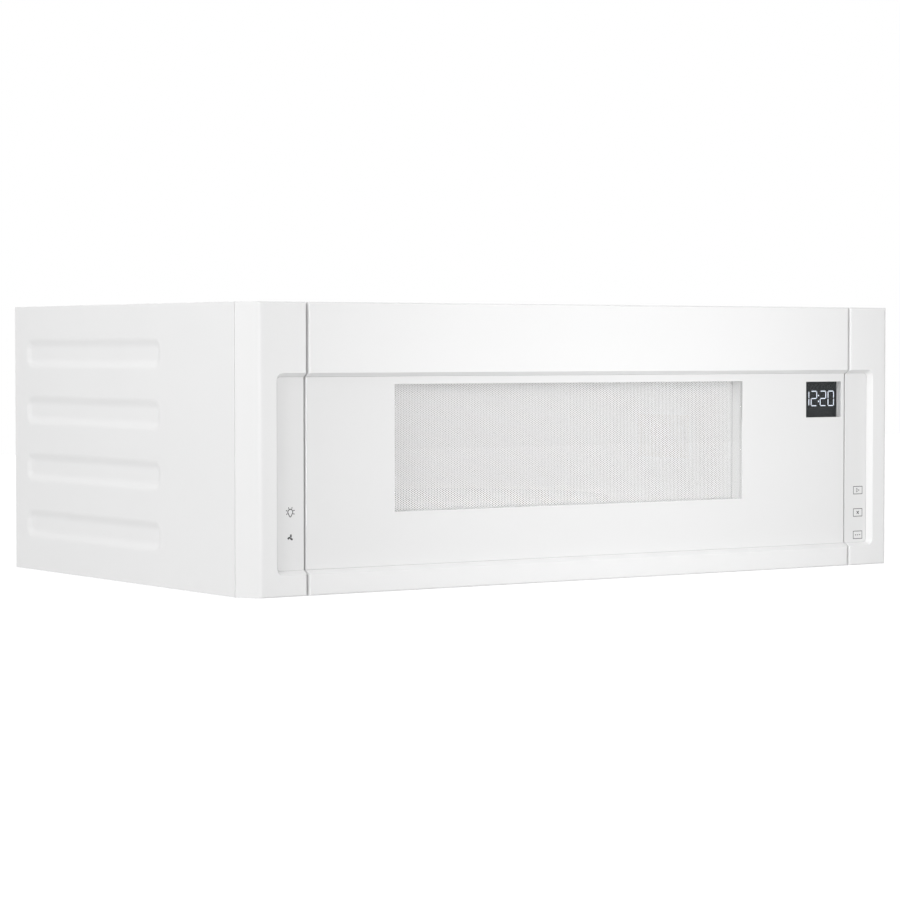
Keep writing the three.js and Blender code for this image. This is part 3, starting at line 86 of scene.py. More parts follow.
# %% [markdown]
# ## Camera
# The photograph was taken with a long lens from the left, a little above the middle of the case. A long
# lens keeps the case's edges nearly parallel. The camera could be placed by eye, but here its place comes
# from fitting the case's known corners to where they lie in the photograph, so all edges line up at once.

# %% Place the camera
CAMERA_AT = Vector((-1.6576, -2.4261, 0.2189))
CAMERA_YAW = math.radians(-34.754)
CAMERA_PITCH = math.radians(1.998)
PHOTO_SIDE = 900
FOCAL_PIXELS = 2912
SHIFT_PIXELS = -30
SENSOR = 36.0

camera_data = bpy.data.cameras.new("camera")
camera_data.sensor_width = SENSOR
camera_data.lens = FOCAL_PIXELS / PHOTO_SIDE * SENSOR
camera_data.shift_x = SHIFT_PIXELS / PHOTO_SIDE
camera = bpy.data.objects.new("camera", camera_data)
camera.location = CAMERA_AT
camera.rotation_euler = (math.pi / 2 - CAMERA_PITCH, 0, CAMERA_YAW)
bpy.context.scene.collection.objects.link(camera)
bpy.context.scene.camera = camera
bpy.context.scene.view_settings.view_transform = "Standard"
print("lens in mm:", round(camera_data.lens, 1))

# %% [markdown]
# ## Light
# White goods are photographed under very soft light, so that the large flat faces stay even and only the
# folds and edges show. The world gives most of it, as a white room would, and a few large lamps add
# direction. The white background could be a brightly lit wall, but its light would wash out the case.
# Instead one switch, by the kind of ray, shows full white to the camera, to reflections and through glass,
# and a dimmer white to all other rays, which are the ones that light the case.


# %% World
def seen_directly(tree):
    """One for the rays of the camera, of reflections and through glass, and zero for soft light."""
    rays = tree.nodes.new("ShaderNodeLightPath")
    either = tree.nodes.new("ShaderNodeMath")
    any_of_three = tree.nodes.new("ShaderNodeMath")
    either.operation = "MAXIMUM"
    any_of_three.operation = "MAXIMUM"
    tree.links.new(rays.outputs["Is Camera Ray"], either.inputs[0])
    tree.links.new(rays.outputs["Is Glossy Ray"], either.inputs[1])
    tree.links.new(either.outputs[0], any_of_three.inputs[0])
    tree.links.new(rays.outputs["Is Transmission Ray"], any_of_three.inputs[1])
    return any_of_three.outputs[0]


AMBIENT = 0.42
BACKDROP = 1.0
WHITE = (1.0, 1.0, 1.0, 1.0)

world = bpy.data.worlds.new("studio")
bpy.context.scene.world = world
world.use_nodes = True
tree = world.node_tree
room = tree.nodes["Background"]
room.inputs["Color"].default_value = WHITE
room.inputs["Strength"].default_value = AMBIENT
seen = tree.nodes.new("ShaderNodeBackground")
seen.inputs["Color"].default_value = WHITE
seen.inputs["Strength"].default_value = BACKDROP
choose = tree.nodes.new("ShaderNodeMixShader")
tree.links.new(seen_directly(tree), choose.inputs["Fac"])
tree.links.new(room.outputs[0], choose.inputs[1])
tree.links.new(seen.outputs[0], choose.inputs[2])
tree.links.new(choose.outputs[0], tree.nodes["World Output"].inputs["Surface"])
print("ambient strength:", AMBIENT)

# %% [markdown]
# ### Lamps
# A studio lights a white case with large soft boxes. One lamp would be simpler, but each face asks for its
# own brightness, so there are six. The side lamp and the left lamp light the side panel, which fades
# towards the wall. The middle lamp lifts the middle of the door, and the right and back lamps keep the
# other faces from going grey. These are hidden from reflections, where they would lie as bright squares on
# the glossy front. Only the edge lamp is mirrored, so that the rounded front edges shine as a line.

# %% Place the lamps
CASE_MIDDLE = (cad_low + cad_high) / 2


def soft_lamp(name, at, size, watts, target=CASE_MIDDLE, mirrored=False):
    """A square area lamp that faces a target. Only a mirrored lamp leaves a highlight on glossy edges."""
    data = bpy.data.lights.new(name, "AREA")
    data.shape = "SQUARE"
    data.size = size
    data.energy = watts
    lamp = bpy.data.objects.new(name, data)
    lamp.location = at
    lamp.rotation_euler = (Vector(target) - Vector(at)).to_track_quat("-Z", "Y").to_euler()
    lamp.visible_glossy = mirrored
    bpy.context.scene.collection.objects.link(lamp)


soft_lamp("side_lamp", at=(-2.0, -0.42, 1.2), size=1.4, watts=21)
soft_lamp("left_lamp", at=(-3.2, -2.0, 1.3), size=1.6, watts=14)
soft_lamp("edge_lamp", at=(-1.83, -3.3, 0.1), size=0.5, watts=11, mirrored=True)
soft_lamp("right_lamp", at=(2.6, -2.8, 1.0), size=2.0, watts=5)
soft_lamp("middle_lamp", at=(0.06, -0.75, 0.20), size=0.5, watts=1.85, target=(0.06, -0.23, 0.13))
soft_lamp("back_lamp", at=(0.6, 3.0, 1.2), size=2.0, watts=26)

# %% [markdown]
# ## Floor
# The oven hangs on a wall, with its door and lamp lenses swinging down below its underside, so the floor
# lies well below it, as a worktop would. A curved studio sweep could be modelled, but one large flat face
# does the same here. It takes the soft shadow, and to the camera it also glows, so that it meets the white
# background without a line. Seen from underneath it is clear, so that the underside can be looked at.

# %% Make the floor
FLOOR_DROP = 0.36
FLOOR_HALF = 12.0
FLOOR_GREY = 0.56
FLOOR_LIFT = 0.82

floor_mesh = bpy.data.meshes.new("floor")
corners = [(x * FLOOR_HALF, y * FLOOR_HALF, -FLOOR_DROP) for x, y in ((-1, -1), (1, -1), (1, 1), (-1, 1))]
floor_mesh.from_pydata(corners, [], [(0, 1, 2, 3)])
floor = bpy.data.objects.new("floor", floor_mesh)
bpy.context.scene.collection.objects.link(floor)
floor_paint = bpy.data.materials.new("floor_paint")
floor_paint.use_nodes = True
tree = floor_paint.node_tree
paint = tree.nodes["Principled BSDF"]
paint.inputs["Base Color"].default_value = (FLOOR_GREY, FLOOR_GREY, FLOOR_GREY, 1.0)
paint.inputs["Roughness"].default_value = 0.9
paint.inputs["Emission Color"].default_value = WHITE
lift = tree.nodes.new("ShaderNodeMath")
lift.operation = "MULTIPLY"
lift.inputs[1].default_value = FLOOR_LIFT
side_seen = tree.nodes.new("ShaderNodeNewGeometry")
see_through = tree.nodes.new("ShaderNodeBsdfTransparent")
choose = tree.nodes.new("ShaderNodeMixShader")
tree.links.new(seen_directly(tree), lift.inputs[0])
tree.links.new(lift.outputs[0], paint.inputs["Emission Strength"])
tree.links.new(side_seen.outputs["Backfacing"], choose.inputs["Fac"])
tree.links.new(paint.outputs[0], choose.inputs[1])
tree.links.new(see_through.outputs[0], choose.inputs[2])
tree.links.new(choose.outputs[0], tree.nodes["Material Output"].inputs["Surface"])
floor_mesh.materials.append(floor_paint)
print("floor lies", FLOOR_DROP, "m below the case")

# %% [markdown]
# ## Finishes
# Each finish starts as one Principled shader with its own colour and gloss, set on the shader itself. What
# varies over the surface, such as the grain of a powder coat, could be a picture laid over an unwrapped
# mesh. A texture in the part's own coordinates needs no unwrapping and stays at its real scale on every
# piece, so that is used throughout.


# %% A plain finish
def shader_of(material):
    """The one Principled shader of a finish."""
    return material.node_tree.nodes["Principled BSDF"]


def grey(value):
    """A neutral colour."""
    return (value, value, value)


def finish(name, color, roughness, metallic=0.0, **sockets):
    """A Principled material. Extra sockets are given with spaces written as underscores."""
    material = bpy.data.materials.new(name)
    material.use_nodes = True
    shader = shader_of(material)
    shader.inputs["Base Color"].default_value = (*color, 1.0)
    shader.inputs["Roughness"].default_value = roughness
    shader.inputs["Metallic"].default_value = metallic
    for socket, value in sockets.items():
        shader.inputs[socket.replace("_", " ")].default_value = value
    return material


print("sockets on one shader:", len(shader_of(floor_paint).inputs))


# %% Textures at their real scale
def add(material, kind, **values):
    """A new node with its sockets set by name, or its properties where it has no such socket."""
    node = material.node_tree.nodes.new(kind)
    for key, value in values.items():
        socket = node.inputs.get(key.replace("_", " "))
        if socket is None:
            setattr(node, key, value)
        else:
            socket.default_value = value
    return node


def link(material, output, target):
    """Joins two sockets of a finish."""
    material.node_tree.links.new(output, target)


def place_in_metres(material, scale=(1, 1, 1), turn=(0, 0, 0)):
    """The piece's own coordinates, in metres, stretched and turned."""
    where = add(material, "ShaderNodeTexCoord")
    mapping = add(material, "ShaderNodeMapping", Scale=scale, Rotation=turn)
    link(material, where.outputs["Object"], mapping.inputs["Vector"])
    return mapping.outputs["Vector"]


def noise(material, size, detail=3.0, stretch=(1, 1, 1)):
    """Noise whose grains are about a size across, longer along an axis whose stretch is below 1."""
    texture = add(material, "ShaderNodeTexNoise", Scale=1 / size, Detail=detail)
    link(material, place_in_metres(material, stretch), texture.inputs["Vector"])
    return texture.outputs["Fac"]


print("a grain of 2 mm is noise at scale", 1 / (2 * MM))


# %% What a texture changes
def bump(material, height, depth, strength):
    """Raises the surface by a texture, up to a depth, at a strength between 0 and 1."""
    node = add(material, "ShaderNodeBump", Distance=depth, Strength=strength)
    link(material, height, node.inputs["Height"])
    link(material, node.outputs["Normal"], shader_of(material).inputs["Normal"])


def vary(material, socket, source, low, high):
    """Lets a texture move a number between two values."""
    ramp = add(material, "ShaderNodeMapRange")
    ramp.inputs["To Min"].default_value = low
    ramp.inputs["To Max"].default_value = high
    link(material, source, ramp.inputs["Value"])
    link(material, ramp.outputs["Result"], shader_of(material).inputs[socket])


def two_colors(material, source, first, second, start=0.0, end=1.0):
    """Lets a texture choose between two colours."""
    ramp = add(material, "ShaderNodeValToRGB")
    ramp.color_ramp.elements[0].position = start
    ramp.color_ramp.elements[0].color = (*first, 1.0)
    ramp.color_ramp.elements[1].position = end
    ramp.color_ramp.elements[1].color = (*second, 1.0)
    link(material, source, ramp.inputs["Fac"])
    link(material, ramp.outputs["Color"], shader_of(material).inputs["Base Color"])


print("a texture can move colour, gloss and height")

# %% [markdown]
# ### White finishes
# The side panels and the base are powder coated steel: a fine, hard skin with a faint orange peel. The
# front strips and the door's frame are moulded plastic in the same white, smoother and a little glossier.
# The door's glass is printed white on its back, so its front is flat and very glossy. One white could
# serve for all of them, but the eye tells them apart by their gloss, so each has its own.

# %% White finishes
white_paint = finish("white_powder_coat", grey(0.84), roughness=0.38)
two_colors(white_paint, noise(white_paint, 90 * MM), grey(0.83), grey(0.85))
vary(white_paint, "Roughness", noise(white_paint, 20 * MM), 0.34, 0.44)
bump(white_paint, noise(white_paint, 1.6 * MM, detail=2), 0.02 * MM, 0.5)

white_plastic = finish("white_moulding", grey(0.86), roughness=0.26)
two_colors(white_plastic, noise(white_plastic, 120 * MM), grey(0.852), grey(0.868))
bump(white_plastic, noise(white_plastic, 4 * MM, detail=1), 0.01 * MM, 0.5)

printed_glass = finish("white_printed_glass", grey(0.80), roughness=0.16,
                       Coat_Weight=1.0, Coat_Roughness=0.03)
two_colors(printed_glass, noise(printed_glass, 200 * MM), grey(0.795), grey(0.81))
bump(printed_glass, noise(printed_glass, 50 * MM, detail=1), 0.01 * MM, 0.3)

touch_film = finish("white_touch_film", grey(0.79), roughness=0.22, Coat_Weight=0.6, Coat_Roughness=0.08)
two_colors(touch_film, noise(touch_film, 50 * MM), grey(0.785), grey(0.80))
bump(touch_film, noise(touch_film, 3 * MM, detail=1), 0.008 * MM, 0.4)

screen_paint = finish("white_screen_paint", grey(0.95), roughness=0.5)
vary(screen_paint, "Roughness", noise(screen_paint, 4 * MM), 0.42, 0.58)
print("white finishes:", white_paint.name, white_plastic.name, printed_glass.name, touch_film.name)

# %% [markdown]
# ### Metals
# Zinc plated sheet shows faint crystal patches in different greys. Bare aluminium is softer and streaked
# by rolling. The motors' and the transformer's cores are stacks of thin plates, so they carry fine lines,
# and the winding's wire lies side by side in rows. The plates and the wires could be modelled one by one,
# but bands in the finish give the same look at this size and keep the pieces light. On the winding, the
# bands are painted light: a darker painted shade between the rows of wire, and a lighter painted highlight
# on their crests.

# %% Sheet metals
zinc_steel = finish("zinc_plated_sheet", (0.62, 0.63, 0.64), roughness=0.36, metallic=0.75)
patches = add(zinc_steel, "ShaderNodeTexVoronoi", Scale=140.0)
link(zinc_steel, place_in_metres(zinc_steel), patches.inputs["Vector"])
patch_grey = add(zinc_steel, "ShaderNodeSeparateColor")
link(zinc_steel, patches.outputs["Color"], patch_grey.inputs["Color"])
two_colors(zinc_steel, patch_grey.outputs["Red"], (0.47, 0.48, 0.49), (0.53, 0.54, 0.55))
vary(zinc_steel, "Roughness", patch_grey.outputs["Green"], 0.34, 0.42)
bump(zinc_steel, noise(zinc_steel, 1.2 * MM, detail=3), 0.01 * MM, 0.5)

aluminium = finish("rolled_aluminium", (0.58, 0.59, 0.60), roughness=0.36, metallic=0.9)
vary(aluminium, "Roughness", noise(aluminium, 2 * MM, detail=2, stretch=(0.06, 1, 1)), 0.24, 0.42)
bump(aluminium, noise(aluminium, 0.8 * MM, detail=2, stretch=(0.05, 1, 1)), 0.008 * MM, 0.6)

bright_steel = finish("bright_steel", (0.66, 0.66, 0.67), roughness=0.24, metallic=1.0)
vary(bright_steel, "Roughness", noise(bright_steel, 1.5 * MM, detail=2, stretch=(1, 1, 0.1)), 0.18, 0.34)
print("sheet metals:", zinc_steel.name, aluminium.name, bright_steel.name)

# %% Stacked plates and wound wire
laminations = finish("stacked_laminations", (0.16, 0.165, 0.17), roughness=0.5, metallic=0.7)
plates = add(laminations, "ShaderNodeTexWave", Scale=320.0, Distortion=0.4)
plates.bands_direction = "Y"
link(laminations, place_in_metres(laminations), plates.inputs["Vector"])
two_colors(laminations, plates.outputs["Fac"], (0.09, 0.095, 0.10), (0.24, 0.245, 0.25))
bump(laminations, plates.outputs["Fac"], 0.1 * MM, 0.6)

copper = finish("enamelled_copper_wire", (0.50, 0.22, 0.09), roughness=0.28, metallic=0.9)
# The wave's dark bands are painted shade between the rows of wire, and its light bands are a painted
# highlight on their crests.
turns = add(copper, "ShaderNodeTexWave", Scale=180.0)
turns.bands_direction = "Z"
link(copper, place_in_metres(copper), turns.inputs["Vector"])
two_colors(copper, turns.outputs["Fac"], (0.30, 0.11, 0.04), (0.62, 0.29, 0.13))
bump(copper, turns.outputs["Fac"], 0.4 * MM, 0.9)
print("banded metals:", laminations.name, copper.name)

# %% [markdown]
# ### Enamel and mouldings
# The oven is lined with light grey enamel that has small dark specks. The parts that turn are natural
# nylon or black plastic. The specks could be painted in a picture, but a cell texture makes round ones of
# even size and never repeats.

# %% Enamel and mouldings
enamel = finish("speckled_enamel", (0.70, 0.70, 0.68), roughness=0.22, Coat_Weight=0.5, Coat_Roughness=0.08)
specks = add(enamel, "ShaderNodeTexVoronoi", Scale=260.0)
link(enamel, place_in_metres(enamel), specks.inputs["Vector"])
two_colors(enamel, specks.outputs["Distance"], (0.42, 0.42, 0.41), (0.71, 0.71, 0.69), start=0.10, end=0.19)
bump(enamel, noise(enamel, 6 * MM, detail=2), 0.04 * MM, 0.4)

choke_plastic = finish("grey_choke_moulding", (0.58, 0.585, 0.59), roughness=0.42)
bump(choke_plastic, noise(choke_plastic, 0.7 * MM, detail=2), 0.03 * MM, 0.5)

black_plastic = finish("black_moulding", (0.022, 0.022, 0.024), roughness=0.45)
bump(black_plastic, noise(black_plastic, 0.8 * MM, detail=2), 0.03 * MM, 0.5)

nylon = finish("natural_nylon", (0.76, 0.74, 0.69), roughness=0.42, Subsurface_Weight=0.15)
bump(nylon, noise(nylon, 1 * MM, detail=2), 0.02 * MM, 0.5)
print("mouldings:", choke_plastic.name, black_plastic.name, nylon.name)

# %% [markdown]
# ### Display and print
# The clock's window is smoked dark, and its digits glow in it in a cool white. The touch marks are
# printed in grey. The digits could be lamps, but a finish that gives off a little light is enough, because
# they light nothing round them.

# %% Display and print
display_black = finish("smoked_display_window", (0.013, 0.014, 0.017), roughness=0.3, Specular_IOR_Level=0.15)
vary(display_black, "Roughness", noise(display_black, 4 * MM), 0.25, 0.36)

clock_light = finish("lit_clock_segments", (0.8, 0.85, 0.95), roughness=0.4,
                     Emission_Color=(0.80, 0.87, 1.0, 1.0), Emission_Strength=0.5)
vary(clock_light, "Roughness", noise(clock_light, 1 * MM), 0.35, 0.45)

mark_print = finish("grey_printed_mark", (0.05, 0.05, 0.053), roughness=0.4)
vary(mark_print, "Roughness", noise(mark_print, 0.8 * MM), 0.34, 0.5)
print("display and print:", display_black.name, clock_light.name, mark_print.name)

# %% [markdown]
# ### Glass and clear plastic
# A refracting glass would be the full way to make a clear pane, but a thin one then goes dark in front of
# the screen. The clear pieces are see-through by their alpha instead, which stays clean and quick to
# light. The window's glass is a mix of a mirror and a see-through shader, and mirrors more the flatter one
# looks along it, as real glass does.

# %% Clear pane and window glass
clear_pane = finish("clear_pane", (0.20, 0.22, 0.22), roughness=0.03, Alpha=0.05)
vary(clear_pane, "Roughness", noise(clear_pane, 50 * MM), 0.02, 0.05)

MIRROR_HEAD_ON = 0.03
MIRROR_GRAZING = 0.8
MIRROR_STEEPNESS = 5.0

window_glass = bpy.data.materials.new("window_glass")
window_glass.use_nodes = True
window_glass.node_tree.nodes.remove(shader_of(window_glass))
mirrored = add(window_glass, "ShaderNodeBsdfGlossy", Roughness=0.02)
let_through = add(window_glass, "ShaderNodeBsdfTransparent")
grazing = add(window_glass, "ShaderNodeLayerWeight", Blend=0.5)
steep = add(window_glass, "ShaderNodeMath", operation="POWER")
steep.inputs[1].default_value = MIRROR_STEEPNESS
angle_share = add(window_glass, "ShaderNodeMapRange")
angle_share.inputs["To Min"].default_value = MIRROR_HEAD_ON
angle_share.inputs["To Max"].default_value = MIRROR_GRAZING
pane_mix = add(window_glass, "ShaderNodeMixShader")
link(window_glass, grazing.outputs["Facing"], steep.inputs[0])
link(window_glass, steep.outputs[0], angle_share.inputs["Value"])
link(window_glass, angle_share.outputs["Result"], pane_mix.inputs[0])
link(window_glass, let_through.outputs[0], pane_mix.inputs[1])
link(window_glass, mirrored.outputs[0], pane_mix.inputs[2])
link(window_glass, pane_mix.outputs[0], window_glass.node_tree.nodes["Material Output"].inputs["Surface"])
print("window glass mirrors from", MIRROR_HEAD_ON, "to", MIRROR_GRAZING)

# %% Lens, tray and bulb
clear_plastic = finish("clear_ribbed_plastic", (0.86, 0.88, 0.89), roughness=0.12, Alpha=0.55)
vary(clear_plastic, "Roughness", noise(clear_plastic, 10 * MM), 0.08, 0.2)

tray_glass = finish("pressed_tray_glass", (0.80, 0.87, 0.86), roughness=0.05, Alpha=0.4)
vary(tray_glass, "Roughness", noise(tray_glass, 20 * MM), 0.03, 0.09)

lamp_glass = finish("lamp_glass", (0.95, 0.90, 0.78), roughness=0.2,
                    Emission_Color=(1.0, 0.85, 0.6, 1.0), Emission_Strength=0.15)
vary(lamp_glass, "Roughness", noise(lamp_glass, 2 * MM), 0.12, 0.28)
print("clear finishes:", clear_plastic.name, tray_glass.name, lamp_glass.name)

# %% [markdown]
# ### Mica and circuit board
# The cover of the waveguide is pressed mica, a flaky brown sheet with long streaks. The circuit board is
# green lacquer over copper tracks. Its tracks could be drawn one by one, but the board lies deep in the
# case, so a brick pattern with lighter joints stands in for them.

# %% Mica and circuit board
mica = finish("pressed_mica", (0.48, 0.42, 0.33), roughness=0.5)
flakes = noise(mica, 6 * MM, detail=5, stretch=(1, 1, 0.3))
two_colors(mica, flakes, (0.38, 0.33, 0.25), (0.60, 0.54, 0.44), start=0.3, end=0.7)
bump(mica, noise(mica, 2 * MM, detail=4), 0.05 * MM, 0.6)

circuit_board = finish("green_circuit_board", (0.03, 0.17, 0.08), roughness=0.35)
tracks = add(circuit_board, "ShaderNodeTexBrick", Scale=110.0)
tracks.inputs["Color1"].default_value = (0.03, 0.17, 0.08, 1.0)
tracks.inputs["Color2"].default_value = (0.035, 0.20, 0.09, 1.0)
tracks.inputs["Mortar"].default_value = (0.12, 0.34, 0.16, 1.0)
link(circuit_board, place_in_metres(circuit_board, turn=(math.pi / 2, 0, 0)), tracks.inputs["Vector"])
link(circuit_board, tracks.outputs["Color"], shader_of(circuit_board).inputs["Base Color"])
print("last two finishes:", mica.name, circuit_board.name)

# %% Which finish each slot of the solid model takes
FINISH_OF_SLOT = {
    "white_paint": white_paint, "white_plastic": white_plastic, "white_glass": printed_glass,
    "touch_film": touch_film, "zinc_steel": zinc_steel, "enamel": enamel, "screen_steel": screen_paint,
    "clear_plastic": clear_plastic, "choke_plastic": choke_plastic, "display_black": display_black,
    "mica": mica, "aluminium": aluminium, "laminations": laminations, "copper": copper,
    "board_green": circuit_board, "black_plastic": black_plastic, "nylon": nylon,
    "tray_glass": tray_glass, "lamp_glass": lamp_glass,
}
print("finishes for", len(FINISH_OF_SLOT), "slots")

# %% [markdown]
# ## Softened pieces
# No real edge is perfectly sharp: pressed steel has the radius of its bend and plastic that of its mould,
# and each catches a thin line of light. Every piece that the solid model already shapes well is taken over
# as a copy. Its edges could be cut round by hand, but a bevel modifier does it by one rule and leaves the
# mesh simple. The triangles are welded together first, and the normals are weighted so that large faces
# stay flat. Only the finish and the edges change, never the size.


# %% Make a piece
def new_piece(name, mesh, material, body):
    """A scene piece that moves with a body, in the finish it is given."""
    piece = bpy.data.objects.new(name, mesh)
    bpy.context.scene.collection.objects.link(piece)
    mesh.materials.clear()
    mesh.materials.append(material)
    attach(piece, body)
    return piece


def stands_for(piece, node):
    """The piece is shown in the place of a solid node."""
    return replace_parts(piece, node)


print("bodies that a piece can ride on:", len(BODIES))

# %% Round its edges
SHARP_FROM = 32.0


def smooth(piece):
    """Shades a piece without facets."""
    for face in piece.data.polygons:
        face.use_smooth = True


def keep_flat(piece, weight=50):
    """Lets the large faces decide the shading, so that they stay flat."""
    weighted = piece.modifiers.new("flat_faces", "WEIGHTED_NORMAL")
    weighted.weight = weight
    weighted.keep_sharp = True


def round_edges(piece, radius, steps=2, from_angle=SHARP_FROM):
    """Rounds the edges that are sharper than an angle in degrees, and keeps large faces flat."""
    smooth(piece)
    bevel = piece.modifiers.new("soft_edges", "BEVEL")
    bevel.width = radius
    bevel.segments = steps
    bevel.limit_method = "ANGLE"
    bevel.angle_limit = math.radians(from_angle)
    bevel.miter_outer = "MITER_ARC"
    keep_flat(piece, weight=60)
    return piece


print("edges sharper than", SHARP_FROM, "degrees are rounded")

# %% Take over a solid
SAME_PLACE = 1e-6


def welded_copy(node):
    """A copy of a node's mesh whose triangles share their corners, without the loaded normals."""
    mesh = NODES[node].data.copy()
    work = bmesh.new()
    work.from_mesh(mesh)
    bmesh.ops.remove_doubles(work, verts=work.verts, dist=SAME_PLACE)
    work.to_mesh(mesh)
    work.free()
    if "custom_normal" in mesh.attributes:
        mesh.attributes.remove(mesh.attributes["custom_normal"])
    return mesh


def finished_copy(node, material=None):
    """A scene piece with a solid node's shape, in the finish of its slot unless another is given."""
    slot = SLOT_OF[node]
    finish_used = material or FINISH_OF_SLOT[slot]
    return new_piece(f"{node}_finished", welded_copy(node), finish_used, BODY_OF[node])


def softened(node, radius, material=None, from_angle=SHARP_FROM):
    """A copy of a solid node with rounded edges, shown in its place."""
    return stands_for(round_edges(finished_copy(node, material), radius, from_angle=from_angle), node)


print("points closer than", SAME_PLACE, "m are welded")

# %% [markdown]
# ### Pieces that keep the solid's shape
# These pieces need nothing but their finish and soft edges. The radius could be the same for all, but it
# follows how a piece is made: 0.2 to 0.3 mm on sheet steel, which is 1 mm thick, and mostly more on
# mouldings, motors and windings. The back panel's edges are left nearly sharp.

# %% Take over the well shaped solids
EDGE_RADIUS = {
    "top_panel": 0.25, "back_panel": 0.05, "front_plate": 0.25,
    "cable_bush": 0.5, "cavity_left_wall": 0.2, "cavity_right_wall": 0.2, "cavity_ceiling": 0.2,
    "cavity_floor": 0.2, "cavity_back_wall": 0.2, "waveguide_cover": 0.2, "waveguide": 0.25,
    "magnetron": 0.25, "transformer_core": 0.4, "transformer_winding": 2.5, "capacitor": 0.8,
    "control_board": 0.2, "left_latch_bracket": 0.6, "right_latch_bracket": 0.6, "door_switch": 0.4,
    "switch_plunger": 0.3, "cooling_fan_shroud": 0.4, "cooling_fan_motor": 0.8, "cooling_fan_blade": 0.3,
    "turntable_motor": 0.6, "turntable_coupler": 0.8, "exhaust_motor": 0.8, "blower_shaft": 0.4,
    "left_blower_housing": 0.3, "right_blower_housing": 0.3, "left_cooktop_lamp": 0.3,
    "right_cooktop_lamp": 0.3, "display_module": 0.3, "door_inner_panel": 0.3, "choke_cover": 0.6,
    "latch_bar": 0.6, "left_hinge_arm": 0.3, "right_hinge_arm": 0.3,
}
for node, radius in EDGE_RADIUS.items():
    softened(node, radius * MM)
print("softened pieces:", len(EDGE_RADIUS))

# %% [markdown]
# ### The front mouldings
# The door's frame and the strips beside it make one smooth front. Their top edge has a generous round, the
# bottom edge a smaller one, and the long edge between a strip's slanted side and its face shines as a line.
# One bevel width for all edges would be wrong for one or the other, so each edge carries its own weight,
# which is its share of the widest round.

# %% Give each edge its own round
WIDEST_ROUND = 3.2 * MM
CREASE_FROM = 20.0


def round_each_edge(piece, radius, wide):
    """Rounds every sharp edge by a radius, or by what wide(middle, direction) gives where that is more."""
    work = bmesh.new()
    work.from_mesh(piece.data)
    weight = work.edges.layers.float.new("bevel_weight_edge")
    for edge in work.edges:
        if len(edge.link_faces) == 2 and edge.calc_face_angle() > math.radians(CREASE_FROM):
            a, b = (vertex.co for vertex in edge.verts)
            edge[weight] = max(radius, wide((a + b) / 2, (b - a).normalized())) / WIDEST_ROUND
    work.to_mesh(piece.data)
    work.free()
    round_edges(piece, WIDEST_ROUND, steps=4)
    piece.modifiers["soft_edges"].limit_method = "WEIGHT"
    return piece


print("widest round in mm:", WIDEST_ROUND * 1000)

# %% Round the front mouldings
NEAR = 0.2 * MM
UPRIGHT = 0.9
MOULDING_ROUND = 0.6 * MM
TOP_ROUND = 2.6 * MM
BOTTOM_ROUND = 1.6 * MM
SHINE_ROUND = 3.2 * MM
RECESS_ROUND = 1.2 * MM
GAP_ROUND = 1.0 * MM
SLANT_FROM_X = 360 * MM
RECESS_HALF = 352 * MM
RECESS_Z = (15 * MM, 200 * MM)


def front_round(middle, direction):
    """The width of the round at an edge of the front, by where it lies and which way it runs."""
    upright = abs(direction.z) > UPRIGHT
    if abs(middle.y - cad_low.y) > NEAR:
        return 0.0
    if middle.z > cad_high.z - NEAR:
        return TOP_ROUND
    if middle.z < cad_low.z + NEAR:
        return BOTTOM_ROUND
    if upright and abs(middle.x) > SLANT_FROM_X:
        return SHINE_ROUND
    if abs(middle.x) < RECESS_HALF and RECESS_Z[0] < middle.z < RECESS_Z[1]:
        return RECESS_ROUND
    return GAP_ROUND if upright else 0.0


for node in ("door_frame", "left_front_strip", "right_front_strip"):
    stands_for(round_each_edge(finished_copy(node), MOULDING_ROUND, front_round), node)
print("front mouldings rounded, their plain edges by", MOULDING_ROUND * 1000, "mm")

# %% [markdown]
# ### Touch panels
# A thin film panel fills each strip's part of the recess. The solid leaves a fit's clearance round it,
# which would show as a dark line. A new panel could be made to fill it, but it is simpler to move the
# copy's edges: up and down by the clearance, and on the right side also towards the door.

# %% Fit the touch panels
CLEARANCE = 0.25 * MM
FILM_ROUND = 0.2 * MM
EDGE_ZONE = 8 * MM
INNER_REACH = {"left": 0.0, "right": 1.2 * MM}
for name, side in SIDES:
    node = f"{name}_touch_panel"
    piece = softened(node, FILM_ROUND)
    low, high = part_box(node)
    outer = low.x if side < 0 else high.x
    for vertex in piece.data.vertices:
        if abs(vertex.co.z - low.z) < EDGE_ZONE:
            vertex.co.z -= CLEARANCE
        if abs(vertex.co.z - high.z) < EDGE_ZONE:
            vertex.co.z += CLEARANCE
        if abs(vertex.co.x - outer) > EDGE_ZONE:
            vertex.co.x -= side * INNER_REACH[name]
print("touch panels grown by", CLEARANCE * 1000, "mm")

# %% [markdown]
# ## Side panels
# Each side is one sheet with four long pressed ribs that stiffen it. A press draws the sheet smoothly, so
# the rib has a soft round at its rim and at its floor. A boolean would leave hard edges there. Instead the
# sheet is a grid whose points are pushed in by a formula: how far each point lies inside a rounded
# rectangle. The grid is fine only across the slopes, where the shape changes. The sheet stops just short of
# the front strip, which leaves the thin dark seam that the real panel shows.

# %% Lay out the ribs
panel_low, panel_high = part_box("left_side_panel")
PANEL_Y = (panel_low.y, panel_high.y)
PANEL_Z = (panel_low.z, panel_high.z)
SHEET = 1.0 * MM
SEAM = 0.7 * MM
RIB_COUNT = 4
RIB_PITCH = 56 * MM
RIB_HALF_HEIGHT = 15.5 * MM
RIB_DEPTH = 2.6 * MM
RIB_SLOPE = 10.5 * MM
RIB_CORNER = 12.5 * MM
RIB_Y = (-73 * MM, 206 * MM)
lowest_rib = (PANEL_Z[0] + PANEL_Z[1]) / 2 - (RIB_COUNT - 1) / 2 * RIB_PITCH
rib_heights = [lowest_rib + index * RIB_PITCH for index in range(RIB_COUNT)]
print("rib heights in mm:", [round(z * 1000) for z in rib_heights])

# %% The pressed shape
PRESS_ROUNDING = 0.4


